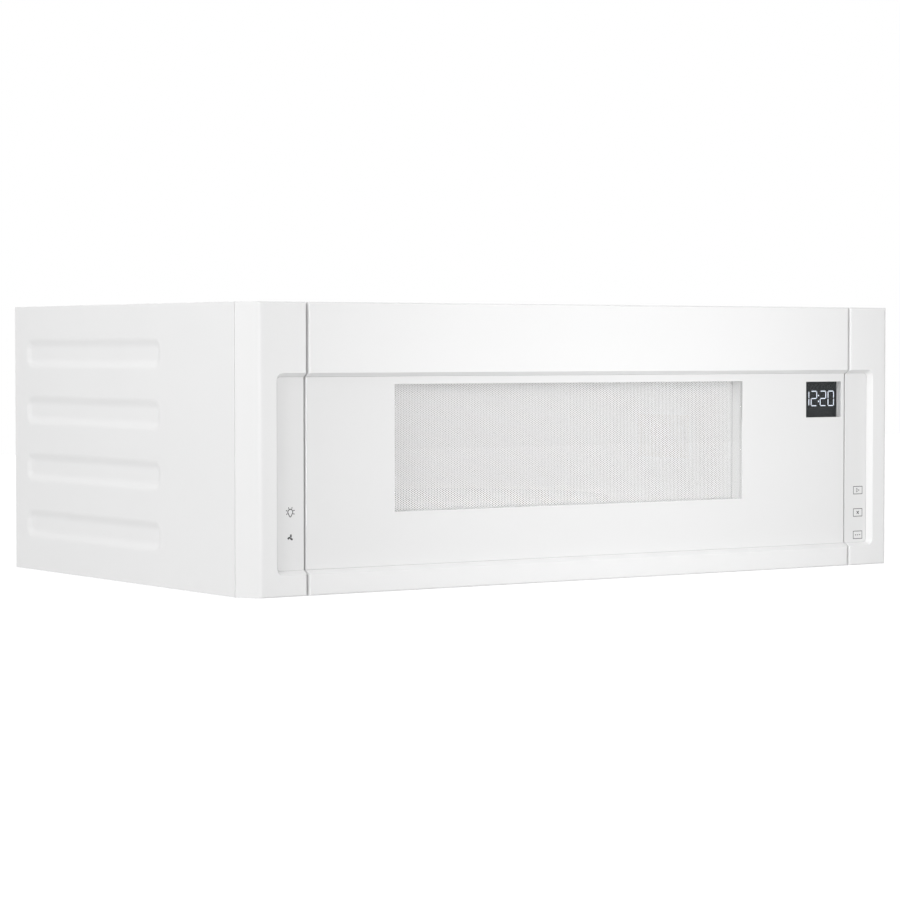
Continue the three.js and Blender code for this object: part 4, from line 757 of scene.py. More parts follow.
def inside_round_box(u, v, span_u, span_v, corner):
    """How far a point lies inside a rectangle with rounded corners, negative outside it."""
    across = abs(u - (span_u[0] + span_u[1]) / 2) - ((span_u[1] - span_u[0]) / 2 - corner)
    along = abs(v - (span_v[0] + span_v[1]) / 2) - ((span_v[1] - span_v[0]) / 2 - corner)
    return corner - math.hypot(max(across, 0), max(along, 0)) - min(max(across, along), 0)


def inside_rib(y, z, height):
    """How far a point lies inside the rim of the rib at a height."""
    span_z = (height - RIB_HALF_HEIGHT, height + RIB_HALF_HEIGHT)
    return inside_round_box(y, z, RIB_Y, span_z, RIB_CORNER)


def pressed_depth(y, z):
    """The depth of the pressing at a point. The slope starts and ends in a round, a share of its length."""
    reach = max(inside_rib(y, z, height) for height in rib_heights) / RIB_SLOPE
    share = min(max(reach, 0.0), 1.0)
    if share < PRESS_ROUNDING:
        share = share * share / (2 * PRESS_ROUNDING)
    elif share > 1 - PRESS_ROUNDING:
        share = 1 - PRESS_ROUNDING - (1 - share) ** 2 / (2 * PRESS_ROUNDING)
    else:
        share = share - PRESS_ROUNDING / 2
    return RIB_DEPTH * share / (1 - PRESS_ROUNDING)


print("depth in a rib's middle in mm:", round(pressed_depth(0, rib_heights[0]) * 1000, 2))

# %% Grid lines across the panel
GRID_MARGIN = 1 * MM


def fine_near(span, edges, fine, coarse):
    """Grid lines across a span, fine along some stretches and coarse elsewhere."""
    lines = [span[0]]
    while lines[-1] < span[1] - fine:
        near = any(low - fine <= lines[-1] <= high for low, high in edges)
        ahead = [low for low, high in edges if low > lines[-1] + fine]
        step = fine if near else min([coarse] + [low - lines[-1] for low in ahead])
        lines.append(lines[-1] + step)
    lines[-1] = span[1]
    return lines


slope_y = [(RIB_Y[0] - GRID_MARGIN, RIB_Y[0] + RIB_CORNER + GRID_MARGIN),
           (RIB_Y[1] - RIB_CORNER - GRID_MARGIN, RIB_Y[1] + GRID_MARGIN)]
slope_z = []
for height in rib_heights:
    rib_bottom, rib_top = height - RIB_HALF_HEIGHT, height + RIB_HALF_HEIGHT
    slope_z.append((rib_bottom - GRID_MARGIN, rib_bottom + RIB_SLOPE + GRID_MARGIN))
    slope_z.append((rib_top - RIB_SLOPE - GRID_MARGIN, rib_top + GRID_MARGIN))
grid_y = fine_near((PANEL_Y[0] + SEAM, PANEL_Y[1]), slope_y, fine=0.9 * MM, coarse=14 * MM)
grid_z = fine_near(PANEL_Z, slope_z, fine=0.8 * MM, coarse=8 * MM)
print("grid lines:", len(grid_y), "by", len(grid_z))

# %% The panel's web
RIM_ROUND = 0.3 * MM
RIM_FROM = 60.0


def thicken(piece, thickness):
    """Gives a single sheet its thickness, away from the side it faces."""
    thick = piece.modifiers.new("sheet", "SOLIDIFY")
    thick.thickness = thickness
    thick.offset = -1.0


def pressed_sheet(name, work, body):
    """A smooth web of painted sheet steel from a bmesh that holds its outer face."""
    mesh = bpy.data.meshes.new(name)
    work.to_mesh(mesh)
    work.free()
    web = new_piece(name, mesh, white_paint, body)
    smooth(web)
    thicken(web, SHEET)
    return web


def side_panel(name, side):
    """The pressed web of one side, thickened inwards."""
    outer = side * cad_high.x
    work = bmesh.new()
    rows = [[work.verts.new((outer - side * pressed_depth(y, z), y, z)) for y in grid_y] for z in grid_z]
    for lower, upper in zip(rows, rows[1:]):
        for a, b, c, d in zip(lower, lower[1:], upper[1:], upper):
            work.faces.new((a, b, c, d) if side > 0 else (d, c, b, a))
    web = pressed_sheet(f"{name}_pressed", work, BODY_OF[name])
    rim = web.modifiers.new("rim", "BEVEL")
    rim.width = RIM_ROUND
    rim.segments = 2
    rim.limit_method = "ANGLE"
    rim.angle_limit = math.radians(RIM_FROM)
    keep_flat(web)
    stands_for(web, name)


print("points in one web:", len(grid_y) * len(grid_z))

# %% [markdown]
# ### The panels' flanges
# The sheet's four edges are turned in, so that the fixing screws of the other panels reach them. The web
# could be bent on by modifiers, but the flanges are hidden behind the other panels, so four plain strips of
# sheet do.

# %% Turn in the flanges and build both panels
FLANGE = 12 * MM
FLANGE_INSET = SHEET + 0.3 * MM
FOLD_ROUND = 0.25 * MM


def mesh_from(name, work):
    """Turns a bmesh into a mesh."""
    mesh = bpy.data.meshes.new(name)
    bmesh.ops.recalc_face_normals(work, faces=work.faces)
    work.to_mesh(mesh)
    work.free()
    return mesh


def add_box(work, low, high):
    """Adds a box between two corners to a bmesh."""
    size = Vector(high) - Vector(low)
    middle = (Vector(high) + Vector(low)) / 2
    made = bmesh.ops.create_cube(work, size=1.0)
    bmesh.ops.scale(work, vec=size, verts=made["verts"])
    bmesh.ops.translate(work, vec=middle, verts=made["verts"])


def flanges(name, side):
    """The four turned-in edges, just inside the panels that cover them."""
    low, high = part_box(name)
    x = sorted((side * (cad_high.x - FLANGE), side * (cad_high.x - SHEET)))
    back = high.y - FLANGE_INSET
    bottom, top = FLANGE_INSET, cad_high.z - FLANGE_INSET
    work = bmesh.new()
    add_box(work, (x[0], low.y, bottom), (x[1], low.y + SHEET, top))
    add_box(work, (x[0], low.y, bottom), (x[1], back, bottom + SHEET))
    add_box(work, (x[0], low.y, top - SHEET), (x[1], back, top))
    add_box(work, (x[0], back - SHEET, bottom), (x[1], back, top))
    mesh = mesh_from(f"{name}_flanges", work)
    round_edges(new_piece(f"{name}_flanges", mesh, white_paint, BODY_OF[name]), FOLD_ROUND)


for name, side in SIDES:
    side_panel(f"{name}_side_panel", side)
    flanges(f"{name}_side_panel", side)
print("side panels pressed", round(RIB_DEPTH * 1000, 1), "mm deep")

# %% [markdown]
# ## Base pan
# The base is one sheet with openings for the filters and the lamps. A wide flat sheet would drum, so long
# beads are pressed into it between the openings. Openings could be cut with booleans, but the grid that
# the side panels use can do both: a formula pushes its points in, and the cells that lie in an opening are
# left away. Its lip and the filters' guides are folded up from it.

# %% Measure the openings
base_low, base_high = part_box("base_pan")
filter_low, filter_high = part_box("right_grease_filter")
lens_low, lens_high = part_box("right_cooktop_lens")
FILTER_LAP = 4 * MM
LENS_PIN_REACH = 3 * MM
LENS_GAP = 0.5 * MM
LENS_REAR_GAP = 2 * MM
filter_opening = ((filter_low.x + FILTER_LAP, filter_high.x - FILTER_LAP),
                  (filter_low.y + FILTER_LAP, filter_high.y - FILTER_LAP))
lens_opening = ((lens_low.x + LENS_PIN_REACH - LENS_GAP, lens_high.x - LENS_PIN_REACH + LENS_GAP),
                (lens_low.y - LENS_GAP, lens_high.y + LENS_REAR_GAP))
base_openings = [(tuple(sorted((side * x[0], side * x[1]))), y)
                 for x, y in (filter_opening, lens_opening) for _, side in SIDES]
print("openings:", len(base_openings))

# %% Lay out the beads
BEAD_DEPTH = 1.6 * MM
BEAD_SLOPE = 4.0 * MM
BEAD_HALF = 7.0 * MM
WIDE_BEAD_X = (-345 * MM, 345 * MM)
WIDE_BEAD_AT_Y = (184 * MM, -93 * MM)
DEEP_BEAD_Y = (-66 * MM, 158 * MM)
DEEP_BEAD_AT_X = (-300 * MM, -55 * MM, 55 * MM)
beads = [(WIDE_BEAD_X, (y - BEAD_HALF, y + BEAD_HALF)) for y in WIDE_BEAD_AT_Y]
beads += [((x - BEAD_HALF, x + BEAD_HALF), DEEP_BEAD_Y) for x in DEEP_BEAD_AT_X]


def bead_depth(x, y):
    """How far a point of the base is pressed up by the nearest bead."""
    inside = max(inside_round_box(x, y, bead_x, bead_y, BEAD_HALF) for bead_x, bead_y in beads)
    share = min(max(inside / BEAD_SLOPE, 0.0), 1.0)
    return BEAD_DEPTH * share * share * (3 - 2 * share)


print("beads:", len(beads), "and", BEAD_DEPTH * 1000, "mm deep")

# %% Grid lines across the base
BEAD_MARGIN = 0.5 * MM
CLEAR_OF_EDGE = 0.4 * MM


def lines_through(span, axis):
    """Grid lines that are fine across the beads and fall on every opening's edge."""
    slopes = []
    for bead in beads:
        low, high = bead[axis][0] - BEAD_MARGIN, bead[axis][1] + BEAD_MARGIN
        slope = BEAD_HALF + 2 * BEAD_MARGIN
        if high - low < 3 * BEAD_HALF:
            slopes.append((low, high))
        else:
            slopes += [(low, low + slope), (high - slope, high)]
    edges = [edge for opening in base_openings for edge in opening[axis]]
    lines = fine_near(span, slopes, fine=1.0 * MM, coarse=12 * MM)
    apart = [line for line in lines if all(abs(line - edge) > CLEAR_OF_EDGE for edge in edges)]
    return sorted(set(apart + edges))


base_x = lines_through((base_low.x, base_high.x), 0)
base_y = lines_through((base_low.y, base_high.y), 1)
print("grid lines:", len(base_x), "by", len(base_y))

# %% Press the base
work = bmesh.new()
grid = [[work.verts.new((x, y, base_low.z + bead_depth(x, y))) for x in base_x] for y in base_y]
for row in range(len(base_y) - 1):
    for column in range(len(base_x) - 1):
        x = (base_x[column] + base_x[column + 1]) / 2
        y = (base_y[row] + base_y[row + 1]) / 2
        if any(hole_x[0] < x < hole_x[1] and hole_y[0] < y < hole_y[1] for hole_x, hole_y in base_openings):
            continue
        lower, upper = grid[row], grid[row + 1]
        work.faces.new((lower[column], upper[column], upper[column + 1], lower[column + 1]))
loose = [vertex for vertex in work.verts if not vertex.link_faces]
bmesh.ops.delete(work, geom=loose, context="VERTS")
base_web = pressed_sheet("base_pan_pressed", work, "case")
keep_flat(base_web)
stands_for(base_web, "base_pan")
print("faces in the base:", len(base_web.data.polygons))

# %% Fold the lip and the filters' guides
LIP_HALF = 317.4 * MM
GUIDE_GAP = 0.3 * MM
FILTER_TRAVEL = 12 * MM
guide_y = (filter_low.y - FILTER_TRAVEL, filter_high.y + FILTER_TRAVEL)
work = bmesh.new()
add_box(work, (-LIP_HALF, base_low.y, SHEET), (LIP_HALF, base_low.y + SHEET, base_high.z))
for _, side in SIDES:
    for edge in (filter_low.x - GUIDE_GAP - SHEET, filter_high.x + GUIDE_GAP):
        ends = sorted((side * edge, side * (edge + SHEET)))
        add_box(work, (ends[0], guide_y[0], SHEET), (ends[1], guide_y[1], filter_high.z))
folds_mesh = mesh_from("base_pan_folds", work)
folds = new_piece("base_pan_folds", folds_mesh, white_paint, "case")
round_edges(folds, FOLD_ROUND)
print("lip of", round(2 * LIP_HALF * 1000, 1), "mm folded")

# %% [markdown]
# ## Door glass
# The door's recess is closed by one pane of glass, printed white on its back except at the window and at
# the clock. The print hides everything else, so the pane is made as a white plate with two openings and a
# clear pane in each. The plate could be cut with booleans, but a plate of rectangles is simpler: a grid of
# cells is laid out and those of the openings are left away.

# %% A plate with rectangular openings
CELL_SIDES = (((-1, 0), (0, 0), (0, 1)), ((1, 0), (1, 0), (1, 1)),
              ((0, -1), (0, 0), (1, 0)), ((0, 1), (0, 1), (1, 1)))


def cell_plate(name, xs, zs, openings, y):
    """A plate in X and Z from y[0] to y[1], on grid lines xs and zs, without the cells in openings.

    Each entry of CELL_SIDES is the step to a neighbour, and the two corners of the side they share.
    """
    work = bmesh.new()
    points = {}

    def vertex(i, k, depth):
        if (i, k, depth) not in points:
            points[i, k, depth] = work.verts.new((xs[i], y[depth], zs[k]))
        return points[i, k, depth]

    solid = {(i, k) for i in range(len(xs) - 1) for k in range(len(zs) - 1)} - set(openings)
    for i, k in solid:
        for depth in (0, 1):
            work.faces.new([vertex(a, b, depth) for a, b in ((i, k), (i + 1, k), (i + 1, k + 1), (i, k + 1))])
        for (step_i, step_k), first, second in CELL_SIDES:
            if (i + step_i, k + step_k) not in solid:
                a = (i + first[0], k + first[1])
                b = (i + second[0], k + second[1])
                work.faces.new([vertex(*a, 0), vertex(*b, 0), vertex(*b, 1), vertex(*a, 1)])
    return mesh_from(name, work)


print("each cell has", len(CELL_SIDES), "sides that may need a wall")

# %% Lay out the pane
WINDOW_X = (-223.3 * MM, 184.0 * MM)
WINDOW_Z = (71.5 * MM, 186.6 * MM)
CLOCK_X = (266.6 * MM, 312.6 * MM)
CLOCK_Z = (150.0 * MM, 185.6 * MM)
WINDOW_CELLS = [(1, 1), (1, 2), (1, 3)]
CLOCK_CELLS = [(3, 2)]
glass_low, glass_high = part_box("door_glass")
pane_x = (glass_low.x, *WINDOW_X, *CLOCK_X, glass_high.x)
pane_z = (glass_low.z - CLEARANCE, WINDOW_Z[0], *CLOCK_Z, WINDOW_Z[1], glass_high.z + CLEARANCE)
pane_y = (glass_low.y, glass_high.y)
pane_mesh = cell_plate("printed_pane", pane_x, pane_z, WINDOW_CELLS + CLOCK_CELLS, pane_y)
pane = new_piece("door_glass_print", pane_mesh, printed_glass, "door")
print("pane in mm:", [round((h - l) * 1000, 1) for l, h in zip(glass_low, glass_high)])

# %% [markdown]
# ### The pane's ground edges
# A cut pane is ground all round, so that nobody is hurt and the edge doesn't chip. Its two ends can be seen
# beside the door's gaps, where they catch a light line, so they are ground rounder than the rest. That
# could be a second pane profile, but the weights that round the front mouldings do it here too.

# %% Grind the edges
PANE_ROUND = 0.4 * MM
PANE_END_ROUND = 1.5 * MM


def pane_round(middle, direction):
    """The width of the round at the upright edges of the pane's two ends, and zero elsewhere."""
    at_end = min(abs(middle.x - glass_low.x), abs(middle.x - glass_high.x)) < NEAR
    in_front = abs(middle.y - glass_low.y) < NEAR
    return PANE_END_ROUND if at_end and in_front and abs(direction.z) > UPRIGHT else 0.0


round_each_edge(pane, PANE_ROUND, pane_round)
stands_for(pane, "door_glass")
print("ends ground by", PANE_END_ROUND * 1000, "mm")

# %% Clear panes in the window and before the clock
CLEAR_THICKNESS = 2.0 * MM
CLEAR_SET_BACK = 0.1 * MM
CLEAR_ROUND = 0.2 * MM
front = glass_low.y + CLEAR_SET_BACK
for label, x, z, glass in (("window", WINDOW_X, WINDOW_Z, window_glass),
                           ("clock", CLOCK_X, CLOCK_Z, clear_pane)):
    work = bmesh.new()
    add_box(work, (x[0], front, z[0]), (x[1], front + CLEAR_THICKNESS, z[1]))
    mesh = mesh_from(f"{label}_clear_pane", work)
    round_edges(new_piece(f"{label}_clear_pane", mesh, glass, "door"), CLEAR_ROUND)
print("clear panes set", CLEAR_SET_BACK * 1000, "mm behind the print's face")

# %% [markdown]
# ## The door's screen
# A steel sheet with thousands of small holes lets the eye through and holds the microwaves back. The holes
# stand in staggered columns. A picture of dots would lie flat, so the holes are real: each is a six-sided
# opening in a six-sided cell, and the cells share their corners, so the sheet is one mesh.

# %% The punched field
HOLE_PITCH = 1.97 * MM
HOLE_RADIUS = 0.55 * MM
SAME_CORNER = 0.02 * MM


def hexagon(radius):
    """Six points on a circle in X and Z, two of them straight to the sides."""
    return [(radius * math.cos(k * math.pi / 3), radius * math.sin(k * math.pi / 3)) for k in range(6)]


def punched_sheet(x, z, y):
    """A single sheet of hexagonal cells in columns, each cell with a hole."""
    column_pitch = HOLE_PITCH * math.sqrt(3) / 2
    cell = hexagon(HOLE_PITCH / math.sqrt(3))
    hole = hexagon(HOLE_RADIUS)
    vertices = []
    faces = []
    shared = {}

    def corner(px, pz):
        key = (round(px / SAME_CORNER), round(pz / SAME_CORNER))
        if key not in shared:
            shared[key] = len(vertices)
            vertices.append((px, y, pz))
        return shared[key]

    for column in range(int((x[1] - x[0]) / column_pitch)):
        cx = x[0] + (column + 0.5) * column_pitch
        offset = HOLE_PITCH / 2 if column % 2 else 0
        for row in range(int((z[1] - z[0] - offset) / HOLE_PITCH)):
            cz = z[0] + offset + (row + 0.5) * HOLE_PITCH
            rim = [corner(cx + dx, cz + dz) for dx, dz in cell]
            first = len(vertices)
            vertices.extend((cx + dx, y, cz + dz) for dx, dz in hole)
            for k in range(6):
                after = (k + 1) % 6
                faces.append((rim[after], rim[k], first + k, first + after))
    mesh = bpy.data.meshes.new("punched_screen")
    mesh.from_pydata(vertices, [], faces)
    mesh.update()
    return mesh


print("open share of the sheet:", round(3 * (HOLE_RADIUS / HOLE_PITCH) ** 2, 2))

# %% Punch the screen
SCREEN_SET_BACK = 0.1 * MM
SCREEN_MARGIN = 3 * MM
screen_low, screen_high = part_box("door_screen")
screen_y = screen_low.y + SCREEN_SET_BACK
punched_x = (WINDOW_X[0] - SCREEN_MARGIN, WINDOW_X[1] + SCREEN_MARGIN)
punched_z = (WINDOW_Z[0] - SCREEN_MARGIN, WINDOW_Z[1] + SCREEN_MARGIN)
screen_mesh = punched_sheet(punched_x, punched_z, screen_y)
screen = new_piece("door_screen_punched", screen_mesh, screen_paint, "door")
stands_for(screen, "door_screen")
print("holes:", len(screen_mesh.polygons) // 6)

# %% The plain margin round the holes
MARGIN_SET_BACK = 0.05 * MM
MARGIN_ROUND = 0.2 * MM
margin_x = (screen_low.x, punched_x[0] + HOLE_PITCH, punched_x[1] - HOLE_PITCH, screen_high.x)
margin_z = (screen_low.z, punched_z[0] + HOLE_PITCH, punched_z[1] - HOLE_PITCH, screen_high.z)
margin_y = (screen_y + MARGIN_SET_BACK, screen_high.y)
margin_mesh = cell_plate("screen_margin", margin_x, margin_z, [(1, 1)], margin_y)
margin = new_piece("door_screen_margin", margin_mesh, screen_paint, "door")
round_edges(margin, MARGIN_ROUND)
print("margin laps the punched field by", HOLE_PITCH * 1000, "mm")

# %% [markdown]
# ## Inner window
# On the oven's side a clear sheet keeps grease away from the screen. The solid could be taken over as it
# is, but it is only a box, so a plain box with a slightly wider round is made in its place.

# %% Make the inner window
INNER_ROUND = 0.4 * MM
inner_low, inner_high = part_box("door_inner_window")
work = bmesh.new()
add_box(work, inner_low, inner_high)
inner_mesh = mesh_from("door_inner_window_clear", work)
inner = new_piece("door_inner_window_clear", inner_mesh, clear_pane, "door")
round_edges(inner, INNER_ROUND, steps=3)
stands_for(inner, "door_inner_window")
print("inner window in mm:", [round((h - l) * 1000, 1) for l, h in zip(inner_low, inner_high)])

# %% [markdown]
# ## Clock
# The clock is a dark window with lit segments in it. A font could write its numbers, but no font has
# quite these bars. Seven bars make each digit, so a digit is a list of the bars that are lit. The bars have
# pointed ends, as on the real display, and lie just in front of the dark face.

# %% Measure the clock
DIGIT_WIDTH = 8.2 * MM
DIGIT_HEIGHT = 15.4 * MM
BAR = 0.85 * MM
BAR_GAP = 0.3 * MM
BAR_HEIGHT = 0.1 * MM
DIGIT_PITCH = 10.4 * MM
CLOCK_RIGHT = 309.4 * MM
CLOCK_MIDDLE_Z = 168.7 * MM
LIT = {"1": "bc", "2": "abged", "0": "abcdef"}
digits_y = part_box("display_module")[0].y - BAR_HEIGHT
print("digits stand at y", round(digits_y * 1000, 1), "mm")


# %% Shape the segments
def bar(work, start, end):
    """A bar with pointed ends from start to end, in X and Z."""
    along = (Vector(end) - Vector(start)).normalized()
    across = Vector((-along.y, along.x)) * BAR / 2
    start = Vector(start) + along * BAR_GAP
    end = Vector(end) - along * BAR_GAP
    tip = along * BAR / 2
    outline = [start, start + tip + across, end - tip + across, end, end - tip - across, start + tip - across]
    face = work.faces.new([work.verts.new((p.x, digits_y, p.y)) for p in outline])
    raised = bmesh.ops.extrude_face_region(work, geom=[face])
    top = [g for g in raised["geom"] if isinstance(g, bmesh.types.BMVert)]
    bmesh.ops.translate(work, vec=(0, BAR_HEIGHT, 0), verts=top)


def digit(work, name, left_edge):
    """One digit from its left edge on, its bars named a to g from the top round to the middle."""
    left, right = left_edge + BAR / 2, left_edge + DIGIT_WIDTH - BAR / 2
    top = CLOCK_MIDDLE_Z + DIGIT_HEIGHT / 2 - BAR / 2
    low = CLOCK_MIDDLE_Z - DIGIT_HEIGHT / 2 + BAR / 2
    mid = CLOCK_MIDDLE_Z
    bars = {"a": ((left, top), (right, top)), "b": ((right, mid), (right, top)),
            "c": ((right, low), (right, mid)), "d": ((left, low), (right, low)),
            "e": ((left, low), (left, mid)), "f": ((left, mid), (left, top)),
            "g": ((left, mid), (right, mid))}
    for key in LIT[name]:
        bar(work, *bars[key])


print("bars lit for each digit:", {name: len(bars) for name, bars in LIT.items()})

# %% Set the time
COLON_ROOM = 1.6 * MM
COLON_HALF = 2.9 * MM
DOT = 1.3 * MM
work = bmesh.new()
steps_and_room = ((3, COLON_ROOM), (2, COLON_ROOM), (1, 0), (0, 0))
lefts = [CLOCK_RIGHT - DIGIT_WIDTH - step * DIGIT_PITCH - room for step, room in steps_and_room]
for name, left in zip("1220", lefts):
    digit(work, name, left)
colon_x = (lefts[1] + DIGIT_WIDTH + lefts[2]) / 2
for height in (CLOCK_MIDDLE_Z - COLON_HALF, CLOCK_MIDDLE_Z + COLON_HALF):
    add_box(work, (colon_x - DOT / 2, digits_y, height - DOT / 2),
            (colon_x + DOT / 2, digits_y + BAR_HEIGHT, height + DOT / 2))
new_piece("clock_segments", mesh_from("clock_segments", work), clock_light, "door")
print("clock from", round(lefts[0] * 1000, 1), "to", round(CLOCK_RIGHT * 1000, 1), "mm")

# %% [markdown]
# ## Printed marks
# The strips beside the door carry small touch marks: a lamp and a fan on the left, three framed marks on
# the right. They could be a picture on the film, but lines stay sharp at any distance. Each printed line
# is a curve with a round section, pressed flat, so that it stands only a few hundredths of a millimetre
# above the film.


# %% Draw a line of print
def wire_mesh(name, lines, radius, resolution):
    """A round wire along lines of (x, y, z) points, closed where a line's last point is its first."""
    data = bpy.data.curves.new(name, "CURVE")
    data.dimensions = "3D"
    data.bevel_depth = radius
    data.bevel_resolution = resolution
    data.use_fill_caps = True
    for points in lines:
        closed = points[0] == points[-1]
        points = points[:-1] if closed else points
        spline = data.splines.new("POLY")
        spline.points.add(len(points) - 1)
        for target, point in zip(spline.points, points):
            target.co = (*point, 1)
        spline.use_cyclic_u = closed
    wire = bpy.data.objects.new(name, data)
    bpy.context.scene.collection.objects.link(wire)
    bpy.context.view_layer.update()
    mesh = bpy.data.meshes.new_from_object(wire.evaluated_get(bpy.context.evaluated_depsgraph_get()))
    bpy.data.objects.remove(wire)
    return mesh


PRINT_HEIGHT = 0.05 * MM
LINE = 0.85 * MM
film_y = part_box("left_touch_panel")[0].y


def printed(name, strokes, width=LINE):
    """Printed strokes on the film, each a list of (x, z) points."""
    lines = [[(x, 0, z) for x, z in points] for points in strokes]
    mesh = wire_mesh(name, lines, width / 2, resolution=2)
    flatten = Matrix.Diagonal((1, PRINT_HEIGHT / (width / 2), 1, 1))
    mesh.transform(Matrix.Translation((0, film_y, 0)) @ flatten)
    new_piece(name, mesh, mark_print, "case")


def polar(x, z, radius, angle):
    """A point at a radius from a centre, its angle in radians from the right, counted upwards."""
    return (x + radius * math.cos(angle), z + radius * math.sin(angle))


print("print stands", PRINT_HEIGHT * 1000, "mm above the film at y", round(film_y * 1000, 1))

# %% The lamp mark
LEFT_MARK_X = -333.3 * MM
LAMP_MARK_Z = 74.6 * MM
GLOBE = 2.5 * MM
GLOBE_ARC = (-35, 215)
GLOBE_STEPS = 24
NECK_HALF = 0.5 * MM
NECK_DROP = 4.2 * MM
RAY_REACH = (GLOBE + 0.9 * MM, GLOBE + 2.1 * MM)
RAY_ANGLES = (-25, 20, 65, 115, 160, 205)

arc_step = (GLOBE_ARC[1] - GLOBE_ARC[0]) / GLOBE_STEPS
arc_angles = [math.radians(GLOBE_ARC[0] + arc_step * step) for step in range(GLOBE_STEPS + 1)]
globe = [polar(LEFT_MARK_X, LAMP_MARK_Z, GLOBE, angle) for angle in arc_angles]
neck = [(LEFT_MARK_X + half, LAMP_MARK_Z - NECK_DROP) for half in (NECK_HALF, -NECK_HALF)]
strokes = [[neck[0], *globe, neck[1], neck[0]]]
strokes += [[polar(LEFT_MARK_X, LAMP_MARK_Z, reach, math.radians(angle)) for reach in RAY_REACH]
            for angle in RAY_ANGLES]
printed("lamp_mark", strokes)
print("lamp mark strokes:", len(strokes))

# %% The fan mark
FAN_MARK_Z = 52.0 * MM
BLADE_ANGLES = (55, 175, 295)
BLADE_SWEEP = (0, 12, 30)
BLADE_REACH = (0.3 * MM, 1.6 * MM, 2.9 * MM)
BLADE_WIDTH = 1.7 * MM

strokes = [[polar(LEFT_MARK_X, FAN_MARK_Z, reach, math.radians(angle + sweep))
            for reach, sweep in zip(BLADE_REACH, BLADE_SWEEP)] for angle in BLADE_ANGLES]
printed("fan_mark", strokes, BLADE_WIDTH)
print("left marks at x", round(LEFT_MARK_X * 1000, 1))

# %% The framed marks
RIGHT_MARK_X = 335.9 * MM
FRAME_HALF = (5.85 * MM, 3.8 * MM)
START_Z, CANCEL_Z, MORE_Z = (75.5 * MM, 52.9 * MM, 30.2 * MM)
ARROW = 1.8 * MM
CROSS = 0.8 * ARROW
DASH_HALF = 0.7 * MM
DASH_PITCH = 2.7 * MM


def framed(name, z, inner_strokes):
    """A printed mark, its strokes given from its own middle, in a rectangle."""
    w, h = FRAME_HALF
    border = [(-w, -h), (w, -h), (w, h), (-w, h), (-w, -h)]
    printed(name, [[(RIGHT_MARK_X + x, z + up) for x, up in points] for points in [border] + inner_strokes])


framed("start_mark", START_Z, [[(-ARROW, -ARROW), (ARROW, 0), (-ARROW, ARROW), (-ARROW, -ARROW)]])
framed("cancel_mark", CANCEL_Z, [[(-CROSS, -CROSS), (CROSS, CROSS)], [(-CROSS, CROSS), (CROSS, -CROSS)]])
framed("more_mark", MORE_Z, [[(middle - DASH_HALF, 0), (middle + DASH_HALF, 0)]
                             for middle in (-DASH_PITCH, 0, DASH_PITCH)])
print("right marks at heights", [round(z * 1000, 1) for z in (START_Z, CANCEL_Z, MORE_Z)])

# %% [markdown]
# ## Turntable
# The tray is pressed glass: a flat dish with a raised rim and a few rings pressed into both of its faces.
# A stack of cylinders could stand for it, but a round thing is quickest turned from one profile, as on a
# lathe. The rollers and their ring are nylon mouldings, and their solids are good enough to be softened.


# %% A turned piece
def turned(name, profile, steps, at=(0, 0)):
    """Turns (radius, height) points about a vertical axis through at."""
    work = bmesh.new()
    angles = [2 * math.pi * k / steps for k in range(steps)]
    loops = []
    for radius, height in profile:
        turns = angles if radius > SAME_PLACE else angles[:1]
        loops.append([work.verts.new((at[0] + radius * math.cos(a), at[1] + radius * math.sin(a), height))
                      for a in turns])
    for first, second in zip(loops, loops[1:] + loops[:1]):
        if len(first) == 1 and len(second) == 1:
            continue
        for k in range(steps):
            after = (k + 1) % steps
            corners = [first[k % len(first)], first[after % len(first)],
                       second[after % len(second)], second[k % len(second)]]
            work.faces.new(list(dict.fromkeys(corners)))
    return mesh_from(name, work)


print("a profile is a list of (radius, height) points")

# %% Draw the tray's profile
tray_low, tray_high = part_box("glass_tray")
tray_at = ((tray_low.x + tray_high.x) / 2, (tray_low.y + tray_high.y) / 2)
tray_radius = (tray_high.x - tray_low.x) / 2
under, top = tray_low.z, tray_high.z
TRAY_GLASS = 5 * MM
RING_HALF = 2 * MM
RINGS_UNDER = (40 * MM, 70 * MM, 122 * MM)
RINGS_ON_TOP = (122 * MM, 60 * MM)
UNDER_DEPTH = 0.5 * MM
TOP_HEIGHT = 0.8 * MM
BEND_RISE = 0.6 * MM
SHOULDER = 1.5 * MM
LIP = 1.2 * MM
LIP_INSIDE = 1 * MM
bend_under = (tray_radius - 27 * MM, tray_radius - 22 * MM)
inside = tray_radius - TRAY_GLASS
bend_on_top = (inside - 16 * MM, inside - 21 * MM)
dish = under + TRAY_GLASS

profile = [(0, under)]
for at in RINGS_UNDER:
    profile += [(at - RING_HALF, under), (at, under + UNDER_DEPTH), (at + RING_HALF, under)]
profile += [(bend_under[0], under), (bend_under[1], under + BEND_RISE)]
profile += [(tray_radius - SHOULDER, top - TRAY_GLASS - SHOULDER), (tray_radius, top - TRAY_GLASS)]
profile += [(tray_radius, top - LIP), (tray_radius - LIP, top)]
profile += [(inside + LIP, top), (inside, top - LIP_INSIDE)]
profile += [(bend_on_top[0], dish + BEND_RISE), (bend_on_top[1], dish)]
for at in RINGS_ON_TOP:
    profile += [(at + RING_HALF, dish), (at, dish + TOP_HEIGHT), (at - RING_HALF, dish)]
profile.append((0, dish))
print("points in the tray's profile:", len(profile))

# %% Turn the tray
TRAY_STEPS = 96
TRAY_ROUND = 0.3 * MM
TURNED_SHARP_FROM = 50
tray_mesh = turned("glass_tray_pressed", profile, TRAY_STEPS, tray_at)
tray = new_piece("glass_tray_pressed", tray_mesh, tray_glass, "turntable")
round_edges(tray, TRAY_ROUND, from_angle=TURNED_SHARP_FROM)
stands_for(tray, "glass_tray")
print("tray radius in mm:", round(tray_radius * 1000, 1))

